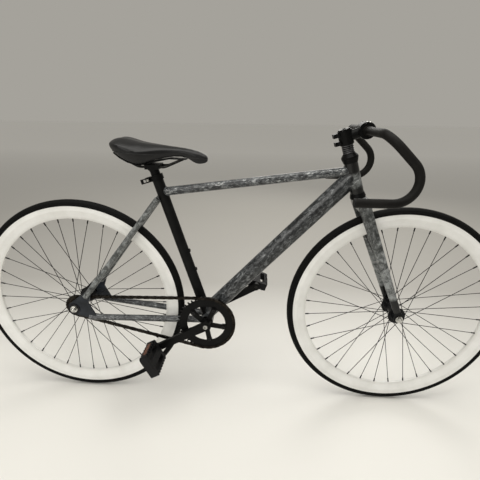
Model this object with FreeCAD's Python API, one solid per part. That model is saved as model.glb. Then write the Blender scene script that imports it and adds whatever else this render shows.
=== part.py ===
# A fixed gear road bicycle with drop bars, built as separate pieces at their real size.
# Millimetres. +X runs forward, +Z up, and the chain is on the -Y side. The origin lies on the
# ground midway between the two axles.
import FreeCAD, Part
import math
import os

V = FreeCAD.Vector
ORIGIN = V(0, 0, 0)
ALONG_Y = V(0, 1, 0)

# Layout of the whole bicycle
front_tyre_to_cranks = 255.43
crank_to_rear_tyre = 74.0
tyre_outer_radius = 336.0
bottom_bracket_drop = 47.0
seat_tube_angle = 72.6
head_angle = 72.5
fork_rake = 35.0
tyre_to_crown = 26.0

# Chain drive
chain_pitch = 12.7
chainring_teeth = 44
sprocket_teeth = 16
shell_to_chain_line = 11.0
tooth_side_clearance = 0.15
roller_radius = 3.85
roller_seat_clearance = 0.2
seat_arc_half_angle = 110.0
tooth_tip_half_width = 0.9

# Fits and cuts
running_clearance = 0.05
seat_gap = 0.05
body_gap = 0.4
trim_gap = 0.2
cut_overrun = 5.0

# Frame tubes
head_tube_room = 2.5
head_tube_wall = 2.2
head_tube_length = 89.0
top_tube_radius = 12.7
top_tube_below_head_top = 24.0
top_tube_below_seat_top = 52.0
down_tube_height = 51.0
down_tube_width = 37.0
down_tube_up_head_tube = 49.0
down_tube_above_bracket = 19.0
frame_wall = 1.6
seat_tube_wall = 2.35
seat_tube_length = 484.0
seat_post_radius = 13.6
bracket_shell_radius = 20.0
bracket_shell_length = 68.0
bracket_shell_wall = 3.0
chain_stay_front_radius = 11.0
chain_stay_rear_radius = 9.0
chain_stay_front_side = 21.0
chain_stay_front_back = 12.0
chain_stay_foot_forward = 44.0
chain_stay_foot_down = 28.0
seat_stay_radius = 9.0
seat_stay_top_side = 15.0
seat_stay_top_back = 16.0
seat_stay_below_seat_top = 66.0
seat_stay_foot_forward = 38.0
seat_stay_foot_up = 40.0
stay_foot_depth = 22.0
stay_bridge_radius = 6.0
seat_bridge_clearance = 18.0
chain_bridge_clearance = 12.0

# Bottle bosses on the front of the seat tube
boss_radius = 5.5
boss_height = 3.0
boss_hole_radius = 2.5
boss_places = (172.0, 236.0)

# Rear track ends
rear_locknut_length = 8.0
dropout_thickness = 6.0
prong_length = 17.0
prong_half_height = 14.0
slot_depth = 18.0
dropout_waist_forward = 46.0
dropout_waist_up = 20.0

# Axles, nuts and washers
axle_radius = 5.0
locknut_wall = 3.5
rear_washer_radius = 18.0
front_washer_radius = 11.0
washer_thickness = 2.0
nut_flange_lip = 3.0
nut_flange_thickness = 2.0
nut_wall = 2.5
nut_height = 8.0
nut_dome_height = 4.0
axle_in_nut = 7.0

# Wheels
tyre_section_radius = 12.5
tyre_wall = 2.5
tyre_bead_width = 2.5
inner_tube_clearance = 0.6
inner_tube_wall = 1.0
valve_radius = 3.0
valve_reach = 44.0
valve_angle = 345.0
front_wheel_turn = 125.0
tyre_seat_depth = 6.5
tyre_over_rim = 1.5
rim_shoulder_drop = 1.2
rim_depth = 40.0
rim_nose_side = 1.5
rim_flange_width = 1.5
rim_flange_depth = 8.0
rim_well_depth = 3.0
rim_well_half_width = 6.0
rim_wall = 1.8
rim_nose_wall = 2.5
spoke_count = 36
spoke_crosses = 3
spoke_radius = 1.0
flange_edge = 4.0
spoke_rim_stagger = 0.6
spoke_head_radius = 2.0
spoke_head_thickness = 1.0
nipple_radius = 2.0
nipple_length = 12.0
nipple_head_radius = 2.4
nipple_head_length = 2.5
nipple_seat_gap = 0.45
drill_clearance = 0.15
flange_height = 8.6
flange_thickness = 3.0
flange_to_chain = 12.0
hub_barrel_radius = 13.5
hub_bore_radius = 8.0
bearing_outer_radius = 13.0
bearing_width = 8.0
front_locknut_length = 6.0
front_hub_end = 11.0
front_boss_wall = 3.5
rear_hub_end = 2.0
rear_boss_wall = 4.4
lockring_height = 4.1
lockring_thickness = 3.5

# Bottom bracket and cranks
cup_flange_inset = 1.0
cup_flange_thickness = 3.0
cup_depth = 12.0
cup_wall = 3.5
spindle_radius = 8.5
spindle_square = 12.7
crank_length = 175.0
crank_drop_angle = 28.0
crank_boss_radius = 17.0
cup_to_crank = 4.0
bolt_to_crank = 1.0
crank_thickness = 12.0
crank_flare = 4.0
crank_root_width = 28.0
crank_tip_width = 21.0
pedal_boss_radius = 12.5
crank_bolt_radius = 7.0
crank_bolt_head = 4.0
crank_bolt_shank = 4.0
crank_bolt_key = 8.0
chainring_inner_radius = 61.0
ring_bolt_inset = 6.0
spider_arms = 5
spider_arm_width = 15.0
spider_thickness = 5.0
spider_end_radius = 8.5
ring_bolt_radius = 4.0
ring_bolt_head_radius = 5.5
ring_bolt_head_height = 2.0
ring_bolt_key = 5.0

# Pedals
pedal_axle_radius = 5.0
pedal_gap = 6.0
pedal_width = 95.0
pedal_length = 75.0
pedal_thickness = 24.0
pedal_corner = 9.0
pedal_barrel_radius = 9.5
pedal_side_width = 13.5
pedal_rim_width = 10.5
pedal_web = 2.0
pedal_tooth_count = 6
pedal_tooth_depth = 3.0
pedal_tooth_width = 6.0
pedal_cap_length = 7.0
reflector_side = 19.5
reflector_border = 6.0
reflector_depth = 3.0
right_pedal_tilt = 62.0
left_pedal_tilt = 18.0

# Chain links
link_plate_radius = 4.1
link_plate_thickness = 1.0
roller_width = 3.3
pin_radius = 1.8
pin_stand_out = 0.6

# Seat collar with its quick release lever
collar_height = 15.0
collar_wall = 3.2
collar_slot = 2.5
collar_ear_length = 11.0
collar_ear_width = 6.0
skewer_radius = 2.5
skewer_nut_radius = 5.0
skewer_nut_length = 5.0
lever_eye_radius = 4.5
lever_eye_half = 3.5
lever_cheek_thickness = 3.0
lever_cheek_radius = 5.5
lever_pin_radius = 1.9
lever_length = 21.0
lever_bar_width = 4.0
lever_end_length = 7.0

# Seat post and saddle clamp
seat_post_exposed = 13.5
seat_post_length = 215.0
seat_post_wall = 2.0
clamp_length = 40.0
clamp_side = 3.5
cradle_thickness = 6.5
clamp_bolt_radius = 3.0
clamp_bolt_head_radius = 5.0
clamp_bolt_head_height = 3.0
clamp_bolt_key = 5.0
clamp_height_above_post = 6.0
clamp_neck_radius = 18.0

# Saddle
saddle_length = 275.0
saddle_width = 148.0
saddle_height = 80.0
clamp_to_base = 0.6
saddle_base_thickness = 2.5
rail_radius = 3.5
rail_half_spacing = 22.0
rail_rear_half_spacing = 34.0
rail_nose_half_spacing = 9.0
rail_run = 74.0
rail_bend_radius = 26.0
# Each row: place along the saddle from its tail, half width, top and underside.
saddle_station_shares = (
    (0.00, 0.50, 0.80, 0.58),
    (0.05, 0.80, 0.91, 0.41),
    (0.12, 0.95, 0.95, 0.25),
    (0.20, 1.00, 0.89, 0.11),
    (0.31, 0.92, 0.77, 0.00),
    (0.46, 0.62, 0.71, 0.11),
    (0.60, 0.37, 0.66, 0.20),
    (0.77, 0.28, 0.58, 0.18),
    (0.85, 0.26, 0.52, 0.02),
    (0.94, 0.23, 0.42, -0.02),
    (1.00, 0.13, 0.27, 0.02),
)
saddle_base_stations = (1, 8)
saddle_low_share = 0.02
saddle_underside_share = 0.74
saddle_side_share = 0.91
saddle_ridge_height_share = 0.62
saddle_side_height_share = 0.30
saddle_base_width_share = 0.66
saddle_clamp_share = 0.42
rail_tail_share = 0.20
rail_nose_share = 0.74

# Headset and steerer
steerer_radius = 14.3
steerer_wall = 2.3
cup_skirt_wall = 1.1
cup_skirt_length = 10.0
headset_bearing_depth = 6.1
headset_bearing_height = 6.0
headset_seat_lip = 1.0
upper_cup_height = 14.0
upper_cup_wall = 3.55
lower_cup_height = 12.0
lower_cup_wall = 2.05
cup_root_lip = 1.0
top_cover_height = 12.0
top_cover_inset = 0.5
crown_race_height = 2.6
crown_race_inset = 1.0
spacer_count = 5
spacer_height = 5.0
spacer_wall = 2.15
spacer_edge = 1.2

# Fork
crown_height = 28.0
crown_lip = 1.0
crown_round = 9.0
crown_shoulder = 7.0
blade_top_side = 44.0
blade_tip_outset = 2.0
blade_top_forward = 5.0
blade_tip_behind_axle = 0.5
blade_tip_up = 24.0
blade_top_depth = 17.5
blade_top_half_thickness = 9.0
blade_tip_depth = 10.5
blade_tip_half_thickness = 7.5
blade_wall = 1.8
front_dropout_thickness = 5.0
front_dropout_radius = 15.0
front_dropout_reach = 24.0

# Stem
stem_clamp_height = 38.0
stem_clamp_wall = 5.2
stem_length = 55.0
stem_rise = 3.0
stem_neck_radius = 14.0
stem_split = 1.5
stem_lug_length = 10.0
stem_lug_height = 11.0
stem_lug_half_width = 11.0
stem_lug_inset = 8.0
stem_bolt_radius = 2.5
stem_bolt_head_radius = 4.2
stem_bolt_head_height = 5.0
stem_bolt_key = 4.0
bar_clamp_lip = 3.0
bar_clamp_half_width = 21.0
face_bolt_inset = 7.0
face_bolt_clearance = 1.8
face_bolt_grip = 10.0
face_bolt_seat = 8.0
cap_lip = 2.7
cap_height = 4.0
cap_recess = 3.0
cap_bolt_length = 24.0

# Drop handlebar
bar_radius = 11.1
bar_wall = 2.0
bar_sleeve_radius = 12.7
bar_sleeve_half = 32.0
bar_half_width = 200.0
bar_shoulder_radius = 45.0
bar_ramp_angle = 44.0
bar_hook_radius = 54.0
bar_ramp_length = 91.0
bar_grip_length = 86.0
plug_cap_length = 3.0
plug_depth = 14.0

# Sizes and places worked out from the values above
sprocket_thickness = roller_width - 2 * tooth_side_clearance
chain_line = bracket_shell_length / 2 + shell_to_chain_line
axle_to_crown = tyre_outer_radius + tyre_to_crown + crown_height
seat_tube_bore = seat_post_radius + running_clearance
seat_tube_radius = seat_tube_bore + seat_tube_wall
top_tube_up_seat_tube = seat_tube_length - top_tube_below_seat_top
seat_stay_up_seat_tube = seat_tube_length - seat_stay_below_seat_top
seat_post_top = seat_tube_length + seat_post_exposed
head_tube_bore = steerer_radius + head_tube_room
head_tube_radius = head_tube_bore + head_tube_wall
steerer_bore = steerer_radius + seat_gap
headset_bearing_radius = steerer_radius + headset_bearing_depth
headset_seat_depth = headset_bearing_height + headset_seat_lip
upper_cup_radius = headset_bearing_radius + seat_gap + upper_cup_wall
lower_cup_radius = headset_bearing_radius + seat_gap + lower_cup_wall
cup_root_radius = head_tube_radius + cup_root_lip
top_cover_radius = upper_cup_radius - top_cover_inset
crown_race_radius = lower_cup_radius - crown_race_inset
spacer_radius = steerer_bore + spacer_wall
stem_clamp_radius = steerer_radius + stem_clamp_wall
stem_lug_spacing = stem_clamp_height - 2 * stem_lug_inset
cap_radius = steerer_radius + cap_lip
face_bolt_offset = bar_sleeve_radius + stem_bolt_radius + face_bolt_clearance
bar_clamp_radius = face_bolt_offset + stem_bolt_radius + bar_clamp_lip
face_bolt_side = bar_clamp_half_width - face_bolt_inset
crown_length = 2 * (blade_top_depth + crown_lip)
flange_side = chain_line - flange_to_chain
front_hub_half = flange_side + front_hub_end
front_hub_gap = 2 * (front_hub_half + front_locknut_length)
rear_hub_half = chain_line + sprocket_thickness / 2 + lockring_thickness + rear_hub_end
rear_hub_gap = 2 * (rear_hub_half + rear_locknut_length)
front_boss_radius = bearing_outer_radius + front_boss_wall
rear_boss_radius = bearing_outer_radius + rear_boss_wall
lockring_radius = rear_boss_radius + lockring_height
flange_radius = rear_boss_radius + flange_height
spoke_circle_radius = flange_radius - flange_edge
spoke_on_flange = math.sqrt(flange_radius ** 2 - spoke_circle_radius ** 2)
blade_tip_side = front_hub_gap / 2 + blade_tip_outset
blade_tip_forward = fork_rake - blade_tip_behind_axle
rim_edge_radius = tyre_outer_radius - tyre_section_radius - tyre_seat_depth
rim_half_width = tyre_section_radius - tyre_over_rim
rim_inner_radius = rim_edge_radius - rim_depth
spoke_lean = spoke_on_flange * flange_side / rim_inner_radius
rim_seat_radius = rim_edge_radius - rim_flange_depth
rim_channel_half = rim_half_width - rim_flange_width
rim_nose_half_width = nipple_head_radius + spoke_rim_stagger + rim_nose_side
axle_bore = axle_radius + running_clearance
nut_bore = axle_radius + seat_gap
locknut_radius = axle_radius + locknut_wall
nut_across_flats = 2 * (axle_radius + nut_wall)
nut_flange_radius = nut_across_flats / 2 + nut_flange_lip
cup_flange_radius = bracket_shell_radius - cup_flange_inset
cup_bore_radius = bracket_shell_radius - bracket_shell_wall - cup_wall
crank_boss_inner = bracket_shell_length / 2 + cup_flange_thickness + cup_to_crank
spider_outer = chain_line + sprocket_thickness / 2 + spider_thickness
crank_outer = spider_outer + ring_bolt_head_height + bolt_to_crank + crank_thickness
bolt_circle_radius = chainring_inner_radius - ring_bolt_inset
pedal_window_width = pedal_width - 2 * pedal_side_width
pedal_window_start = pedal_barrel_radius + pedal_web
pedal_window_length = pedal_length / 2 - pedal_rim_width - pedal_window_start
pedal_window_offset = pedal_window_start + pedal_window_length / 2
reflector_width = pedal_width - 2 * reflector_side
reflector_height = pedal_thickness - 2 * reflector_border
clamp_width = 2 * (rail_half_spacing + rail_radius + clamp_side)
seat_axle_half = rear_hub_gap / 2
head_bottom = axle_to_crown + crown_race_height + body_gap + lower_cup_height
head_top = head_bottom + head_tube_length
upper_cup_top = head_top + upper_cup_height
spacers_bottom = upper_cup_top + body_gap + top_cover_height
stem_bottom = spacers_bottom + spacer_count * spacer_height
stem_top = stem_bottom + stem_clamp_height


def pitch_radius(teeth):
    return chain_pitch / (2 * math.sin(math.pi / teeth))


ring_pitch_radius = pitch_radius(chainring_teeth)
sprocket_pitch_radius = pitch_radius(sprocket_teeth)


def pitches_round(centres):
    """Chain pitches in a taut loop round both sprockets, and the lean of its runs."""
    lean = math.asin((ring_pitch_radius - sprocket_pitch_radius) / centres)
    run = centres * math.cos(lean) / chain_pitch
    ring_wrap = chainring_teeth * (0.5 + lean / math.pi)
    sprocket_wrap = sprocket_teeth * (0.5 - lean / math.pi)
    return 2 * run + ring_wrap + sprocket_wrap, lean


def drive_centres():
    """The fewest chain pitches that clear the tyre, and the distance between centres that they fill."""
    least = tyre_outer_radius + crank_to_rear_tyre
    pitches = 2 * math.ceil(pitches_round(least)[0] / 2)
    centres = least
    for step in range(20):
        centres += (pitches - pitches_round(centres)[0]) * chain_pitch / 2
    return pitches, centres


chain_pitches, stay_centres = drive_centres()
rear_centre = math.sqrt(stay_centres ** 2 - bottom_bracket_drop ** 2)
wheelbase = rear_centre + front_tyre_to_cranks + tyre_outer_radius
rear_axle_place = V(-wheelbase / 2, 0, tyre_outer_radius)
front_axle_place = V(wheelbase / 2, 0, tyre_outer_radius)
bracket_place = rear_axle_place + V(rear_centre, 0, -bottom_bracket_drop)
seat_up = V(-math.cos(math.radians(seat_tube_angle)), 0, math.sin(math.radians(seat_tube_angle)))
seat_forward = V(seat_up.z, 0, -seat_up.x)
steer_up = V(-math.cos(math.radians(head_angle)), 0, math.sin(math.radians(head_angle)))
steer_forward = V(steer_up.z, 0, -steer_up.x)
steer_foot = front_axle_place - steer_forward * fork_rake
crank_back = V(-math.cos(math.radians(crank_drop_angle)), 0, -math.sin(math.radians(crank_drop_angle)))


def on_seat_tube(up, forward=0.0, side=0.0):
    return bracket_place + seat_up * up + seat_forward * forward + ALONG_Y * side


def on_steerer(up, forward=0.0, side=0.0):
    return steer_foot + steer_up * up + steer_forward * forward + ALONG_Y * side


def rod(radius, start, end):
    return Part.makeCylinder(radius, (end - start).Length, start, end - start)


def ring(outer, inner, start, end):
    """A plain ring or tube between two points on its axis."""
    overrun = (end - start).normalize() * cut_overrun
    return rod(outer, start, end).cut(rod(inner, start - overrun, end + overrun))


def y_ring(outer, inner, place, side_a, side_b):
    return ring(outer, inner, place + ALONG_Y * side_a, place + ALONG_Y * side_b)


def y_rod(radius, place, side_a, side_b):
    return rod(radius, place + ALONG_Y * side_a, place + ALONG_Y * side_b)


def closed_wire(points):
    return Part.makePolygon(list(points) + [points[0]])


def turned(points, place, axis, out):
    """A solid of revolution. Each point is (radius, distance along the axis)."""
    outline = [place + out * r + axis * s for r, s in points]
    return Part.Face(closed_wire(outline)).revolve(place, axis, 360)


def y_turned(points, place):
    return turned(points, place, ALONG_Y, V(1, 0, 0))


def steer_turned(points):
    return turned(points, steer_foot, steer_up, steer_forward)


def plate(outline, thickness):
    """A flat piece from an outline of points, standing thickness in +Y."""
    return Part.Face(closed_wire(outline)).extrude(ALONG_Y * thickness)


def block(centre, forward, up, length, height, width):
    """A box about a centre, along a forward and an up direction that are square to Y."""
    corner = centre - forward * (length / 2) - up * (height / 2) - ALONG_Y * (width / 2)
    outline = [corner, corner + forward * length, corner + forward * length + up * height,
               corner + up * height]
    return plate(outline, width)


def mirrored(shape):
    return shape.mirror(ORIGIN, ALONG_Y)


def pair(shape):
    return [shape, mirrored(shape)]


def joined(shapes):
    whole = shapes[0].fuse(list(shapes[1:])).removeSplitter()
    return whole.Solids[0] if len(whole.Solids) == 1 else whole


def save(name, shapes):
    solids = []
    for shape in shapes:
        solids.extend(shape.Solids)
    for solid in solids:
        if not solid.isValid() or solid.Volume <= 0:
            print("check", name, "solid is not sound")
    Part.makeCompound(solids).exportStep("parts/" + name + ".step")
    print(name, len(solids), round(sum(s.Volume for s in solids)))


# Frame
def head_tube_solid():
    return rod(head_tube_radius, on_steerer(head_bottom), on_steerer(head_top))


def seat_tube_solid():
    return rod(seat_tube_radius, on_seat_tube(0), on_seat_tube(seat_tube_length))


def bracket_solid():
    return y_rod(bracket_shell_radius, bracket_place, -bracket_shell_length / 2, bracket_shell_length / 2)


def top_tube_ends():
    return on_seat_tube(top_tube_up_seat_tube), on_steerer(head_top - top_tube_below_head_top)


def down_tube_ends():
    upper = on_steerer(head_bottom + down_tube_up_head_tube)
    lower = bracket_place + V(0, 0, 1) * down_tube_above_bracket
    return lower, upper


def oval_rod(start, end, height, width):
    along = (end - start).normalize()
    oval = Part.Ellipse(start + along.cross(ALONG_Y) * (height / 2), start + ALONG_Y * (width / 2), start)
    return Part.Face(Part.Wire(oval.toShape())).extrude(end - start)


def down_tube_solid():
    lower, upper = down_tube_ends()
    return oval_rod(lower, upper, down_tube_height, down_tube_width)


def head_tube():
    return ring(head_tube_radius, head_tube_bore, on_steerer(head_bottom), on_steerer(head_top))


def top_tube():
    rear, front = top_tube_ends()
    tube = ring(top_tube_radius, top_tube_radius - frame_wall, rear, front)
    return tube.cut([head_tube_solid(), seat_tube_solid()])


def down_tube():
    lower, upper = down_tube_ends()
    rear, front = top_tube_ends()
    bore = oval_rod(lower, upper, down_tube_height - 2 * frame_wall, down_tube_width - 2 * frame_wall)
    tube = down_tube_solid().cut(bore)
    neighbours = [head_tube_solid(), seat_tube_solid(), bracket_solid(), rod(top_tube_radius, rear, front)]
    return max(tube.cut(neighbours).Solids, key=lambda piece: piece.Volume)


def seat_tube():
    tube = ring(seat_tube_radius, seat_tube_bore, on_seat_tube(0), on_seat_tube(seat_tube_length))
    slot_centre = on_seat_tube(seat_tube_length - collar_height, -seat_tube_radius)
    slot = block(slot_centre, seat_forward, seat_up, seat_tube_radius,
                 collar_height * 2 + cut_overrun, collar_slot)
    holes = [rod(boss_hole_radius, on_seat_tube(up), on_seat_tube(up, seat_tube_radius + cut_overrun))
             for up in boss_places]
    return tube.cut([bracket_solid(), slot] + holes)


def bottle_bosses():
    outer = seat_tube_radius + boss_height
    bosses = [ring(boss_radius, boss_hole_radius, on_seat_tube(up), on_seat_tube(up, outer))
              for up in boss_places]
    return [boss.cut(seat_tube_solid()) for boss in bosses]


def bracket_shell():
    half = bracket_shell_length / 2
    return y_ring(bracket_shell_radius, bracket_shell_radius - bracket_shell_wall, bracket_place, -half, half)


def chain_stay_ends():
    side = seat_axle_half + dropout_thickness / 2
    front = bracket_place + V(-chain_stay_front_back, -chain_stay_front_side, 0)
    rear = rear_axle_place + V(chain_stay_foot_forward, -side, -chain_stay_foot_down)
    return front, rear


def chain_stay_solid():
    front, rear = chain_stay_ends()
    return Part.makeCone(chain_stay_front_radius, chain_stay_rear_radius,
                         (rear - front).Length, front, rear - front)


def chain_stay():
    front, rear = chain_stay_ends()
    bore = Part.makeCone(chain_stay_front_radius - frame_wall, chain_stay_rear_radius - frame_wall,
                         (rear - front).Length, front, rear - front)
    stay = chain_stay_solid().cut([bore, bracket_solid(), seat_tube_solid(), rear_dropout()])
    return max(stay.Solids, key=lambda piece: piece.Volume)


def seat_stay_ends():
    side = seat_axle_half + dropout_thickness / 2
    top = on_seat_tube(seat_stay_up_seat_tube, -seat_stay_top_back, -seat_stay_top_side)
    foot = rear_axle_place + V(seat_stay_foot_forward, -side, seat_stay_foot_up)
    return foot, top


def seat_stay():
    foot, top = seat_stay_ends()
    tube = ring(seat_stay_radius, seat_stay_radius - frame_wall, foot, top)
    stay = tube.cut([seat_tube_solid(), rear_dropout()])
    return max(stay.Solids, key=lambda piece: piece.Volume)


def rear_dropout():
    """Right track end: a plate with a slot that opens to the rear, let into both stays."""
    inner = V(0, -seat_axle_half - dropout_thickness, 0)
    slot_half = axle_radius + trim_gap
    foot, top = seat_stay_ends()
    chain_front, chain_rear = chain_stay_ends()
    up_stay = (V(top.x, 0, top.z) - V(foot.x, 0, foot.z)).normalize()
    up_across = V(up_stay.z, 0, -up_stay.x) * (seat_stay_radius - frame_wall)
    on_stay = (V(chain_front.x, 0, chain_front.z) - V(chain_rear.x, 0, chain_rear.z)).normalize()
    on_across = V(on_stay.z, 0, -on_stay.x) * (chain_stay_rear_radius - frame_wall)
    seat_end = V(foot.x, 0, foot.z) + up_stay * stay_foot_depth
    chain_end = V(chain_rear.x, 0, chain_rear.z) + on_stay * stay_foot_depth
    axle = rear_axle_place
    waist = axle + V(dropout_waist_forward, 0, dropout_waist_up)
    slot_top = axle + V(0, 0, slot_half)
    slot_bottom = axle - V(0, 0, slot_half)
    prong = V(-prong_length, 0, 0)
    tall = V(0, 0, prong_half_height)
    outline = [axle + prong + tall, seat_end - up_across, seat_end + up_across, waist,
               chain_end - on_across, chain_end + on_across, axle + prong - tall]
    body = plate([point + inner for point in outline], dropout_thickness)
    deep = V(slot_depth, 0, 0)
    back = prong - V(cut_overrun, 0, 0)
    over = V(0, -cut_overrun, 0)
    slot = plate([p + inner + over for p in (slot_top + back, slot_top + deep, slot_bottom + deep,
                                             slot_bottom + back)], dropout_thickness + 2 * cut_overrun)
    return body.cut(slot)


def stay_bridges():
    """The bridge over the rear tyre and the one behind the bottom bracket."""
    foot, top = seat_stay_ends()
    rise = top - foot
    wanted = tyre_outer_radius + seat_bridge_clearance
    share = 0.5
    for step in range(30):
        here = foot + rise * share - rear_axle_place
        share += (wanted - math.hypot(here.x, here.z)) / rise.Length
    over_tyre = foot + rise * share
    front, rear = chain_stay_ends()
    run = front - rear
    share = 0.5
    for step in range(30):
        here = rear + run * share - rear_axle_place
        share += (tyre_outer_radius + chain_bridge_clearance - math.hypot(here.x, here.z)) / run.Length
    behind = rear + run * share
    upper = y_rod(stay_bridge_radius, V(over_tyre.x, 0, over_tyre.z), over_tyre.y, -over_tyre.y)
    lower = y_rod(stay_bridge_radius, V(behind.x, 0, behind.z), behind.y, -behind.y)
    seat_stays = pair(rod(seat_stay_radius, foot, top))
    return [upper.cut(seat_stays), lower.cut(pair(chain_stay_solid()) + [bracket_solid()])]


# Bottom bracket
def bracket_cups():
    half = bracket_shell_length / 2
    outer = bracket_shell_radius - bracket_shell_wall - seat_gap
    cup = y_turned([(cup_bore_radius, -half + cup_depth), (outer, -half + cup_depth), (outer, -half),
                    (cup_flange_radius, -half), (cup_flange_radius, -half - cup_flange_thickness),
                    (cup_bore_radius, -half - cup_flange_thickness)], bracket_place)
    return pair(cup)


def bracket_bearings():
    half = bracket_shell_length / 2
    bearing = y_ring(cup_bore_radius - seat_gap, spindle_radius + running_clearance, bracket_place,
                     -half + cup_depth - bearing_width, -half + cup_depth)
    return pair(bearing)


def crank_square(clearance, side_a, side_b):
    """The square end that a crank sits on, set along the crank arm."""
    up = V(-crank_back.z, 0, crank_back.x)
    centre = bracket_place + ALONG_Y * ((side_a + side_b) / 2)
    size = spindle_square + 2 * clearance
    return block(centre, crank_back, up, size, size, abs(side_b - side_a))


def bracket_spindle():
    inner = crank_boss_inner - body_gap
    end = crank_outer - crank_thickness / 2
    middle = y_rod(spindle_radius, bracket_place, -inner, inner)
    spindle = joined([middle, crank_square(0, -end, -inner), crank_square(0, inner, end)])
    return spindle.cut(crank_bolt_holes(0))


def crank_bolt_holes(clearance):
    end = crank_outer + cut_overrun
    inner = crank_boss_inner
    hole = crank_bolt_shank + clearance
    return [y_rod(hole, bracket_place, -end, -inner), y_rod(hole, bracket_place, inner, end)]


def crank_bolts():
    end = crank_outer
    bolt = joined([y_rod(crank_bolt_shank - seat_gap, bracket_place, -end, -crank_boss_inner - body_gap),
                   y_rod(crank_bolt_radius, bracket_place, -end, -end - crank_bolt_head)])
    face = bracket_place - ALONG_Y * (end + crank_bolt_head)
    return pair(bolt.cut(hex_socket(face, ALONG_Y, crank_bolt_key, crank_bolt_head)))


def crank_arm():
    """The plain right arm: a tapered bar that leans out, with a boss at each end."""
    across = V(-crank_back.z, 0, crank_back.x)
    tip = bracket_place + crank_back * crank_length

    def slab(centre, width, outer):
        a = centre + across * (width / 2)
        b = centre - across * (width / 2)
        face = [a - ALONG_Y * outer, b - ALONG_Y * outer]
        inner = outer - crank_thickness
        return closed_wire(face + [b - ALONG_Y * inner, a - ALONG_Y * inner])

    bar = Part.makeLoft([slab(bracket_place, crank_root_width, crank_outer),
                         slab(tip, crank_tip_width, crank_outer + crank_flare)], True, True)
    root = y_rod(crank_boss_radius, bracket_place, -crank_outer, -crank_boss_inner)
    end = y_rod(pedal_boss_radius, tip, -crank_outer - crank_flare,
                -crank_outer - crank_flare + crank_thickness)
    arm = joined([bar, root, end])
    hole = y_rod(pedal_axle_radius + seat_gap, tip, -crank_outer - crank_flare - cut_overrun,
                 -crank_outer + crank_thickness + cut_overrun)
    socket_end = -crank_outer + crank_thickness / 2 - seat_gap
    square = crank_square(seat_gap, socket_end, -crank_boss_inner + cut_overrun)
    bolt = y_rod(crank_bolt_shank + seat_gap, bracket_place, -crank_outer - cut_overrun, -crank_boss_inner)
    head = y_rod(crank_bolt_radius + trim_gap, bracket_place, -crank_outer - cut_overrun, -crank_outer)
    return arm.cut([hole, square, bolt, head])


def spider_places(radius):
    """Points round the bottom bracket, the first of them under the right crank arm."""
    turn = FreeCAD.Rotation(ALONG_Y, 360.0 / spider_arms)
    places = []
    arm = crank_back * radius
    for index in range(spider_arms):
        places.append(bracket_place + arm)
        arm = turn.multVec(arm)
    return places


def crank_right():
    inner = -chain_line - sprocket_thickness / 2
    outer = inner - spider_thickness
    arms = []
    holes = []
    for place in spider_places(bolt_circle_radius):
        along = (place - bracket_place).normalize()
        up = V(-along.z, 0, along.x)
        middle = bracket_place + (place - bracket_place) * 0.5 + ALONG_Y * ((inner + outer) / 2)
        arms.append(block(middle, along, up, bolt_circle_radius, spider_arm_width, spider_thickness))
        arms.append(y_rod(spider_end_radius, place, outer, inner))
        holes.append(y_rod(ring_bolt_radius + seat_gap, place, outer - cut_overrun, inner + cut_overrun))
    spider = joined(arms).cut(holes + [y_rod(crank_boss_radius - seat_gap, bracket_place, outer, inner)])
    return joined([crank_arm(), spider])


def crank_left():
    arm = crank_arm()
    arm.rotate(bracket_place, V(-crank_back.z, 0, crank_back.x), 180)
    return arm


def toothed_outline(teeth, phase):
    """Sprocket outline: round roller seats, straight flanks and flat tips."""
    radius = pitch_radius(teeth)
    seat = roller_radius + roller_seat_clearance
    arc = math.radians(seat_arc_half_angle)
    start = (radius + seat * math.cos(arc), seat * math.sin(arc))
    mid_space = chain_pitch / 2 - tooth_tip_half_width
    run = (mid_space - start[1]) / -math.cos(arc)
    tip = (start[0] + run * math.sin(arc), mid_space)
    bottom = (radius - seat, 0.0)
    edges = []

    def place(point, index):
        angle = phase + 2 * math.pi * index / teeth
        out = V(math.cos(angle), 0, math.sin(angle))
        across = V(-out.z, 0, out.x)
        return out * point[0] + across * point[1]

    for index in range(teeth):
        flank_in = place((tip[0], -tip[1]), index)
        seat_in = place((start[0], -start[1]), index)
        seat_out = place(start, index)
        flank_out = place(tip, index)
        following = place((tip[0], -tip[1]), index + 1)
        edges.append(Part.LineSegment(flank_in, seat_in).toShape())
        edges.append(Part.Arc(seat_in, place(bottom, index), seat_out).toShape())
        edges.append(Part.LineSegment(seat_out, flank_out).toShape())
        edges.append(Part.LineSegment(flank_out, following).toShape())
    return Part.Wire(edges)


def toothed_disc(teeth, phase, place):
    disc = Part.Face(toothed_outline(teeth, phase)).extrude(ALONG_Y * sprocket_thickness)
    disc.translate(place + ALONG_Y * (-chain_line - sprocket_thickness / 2))
    return disc


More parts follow.
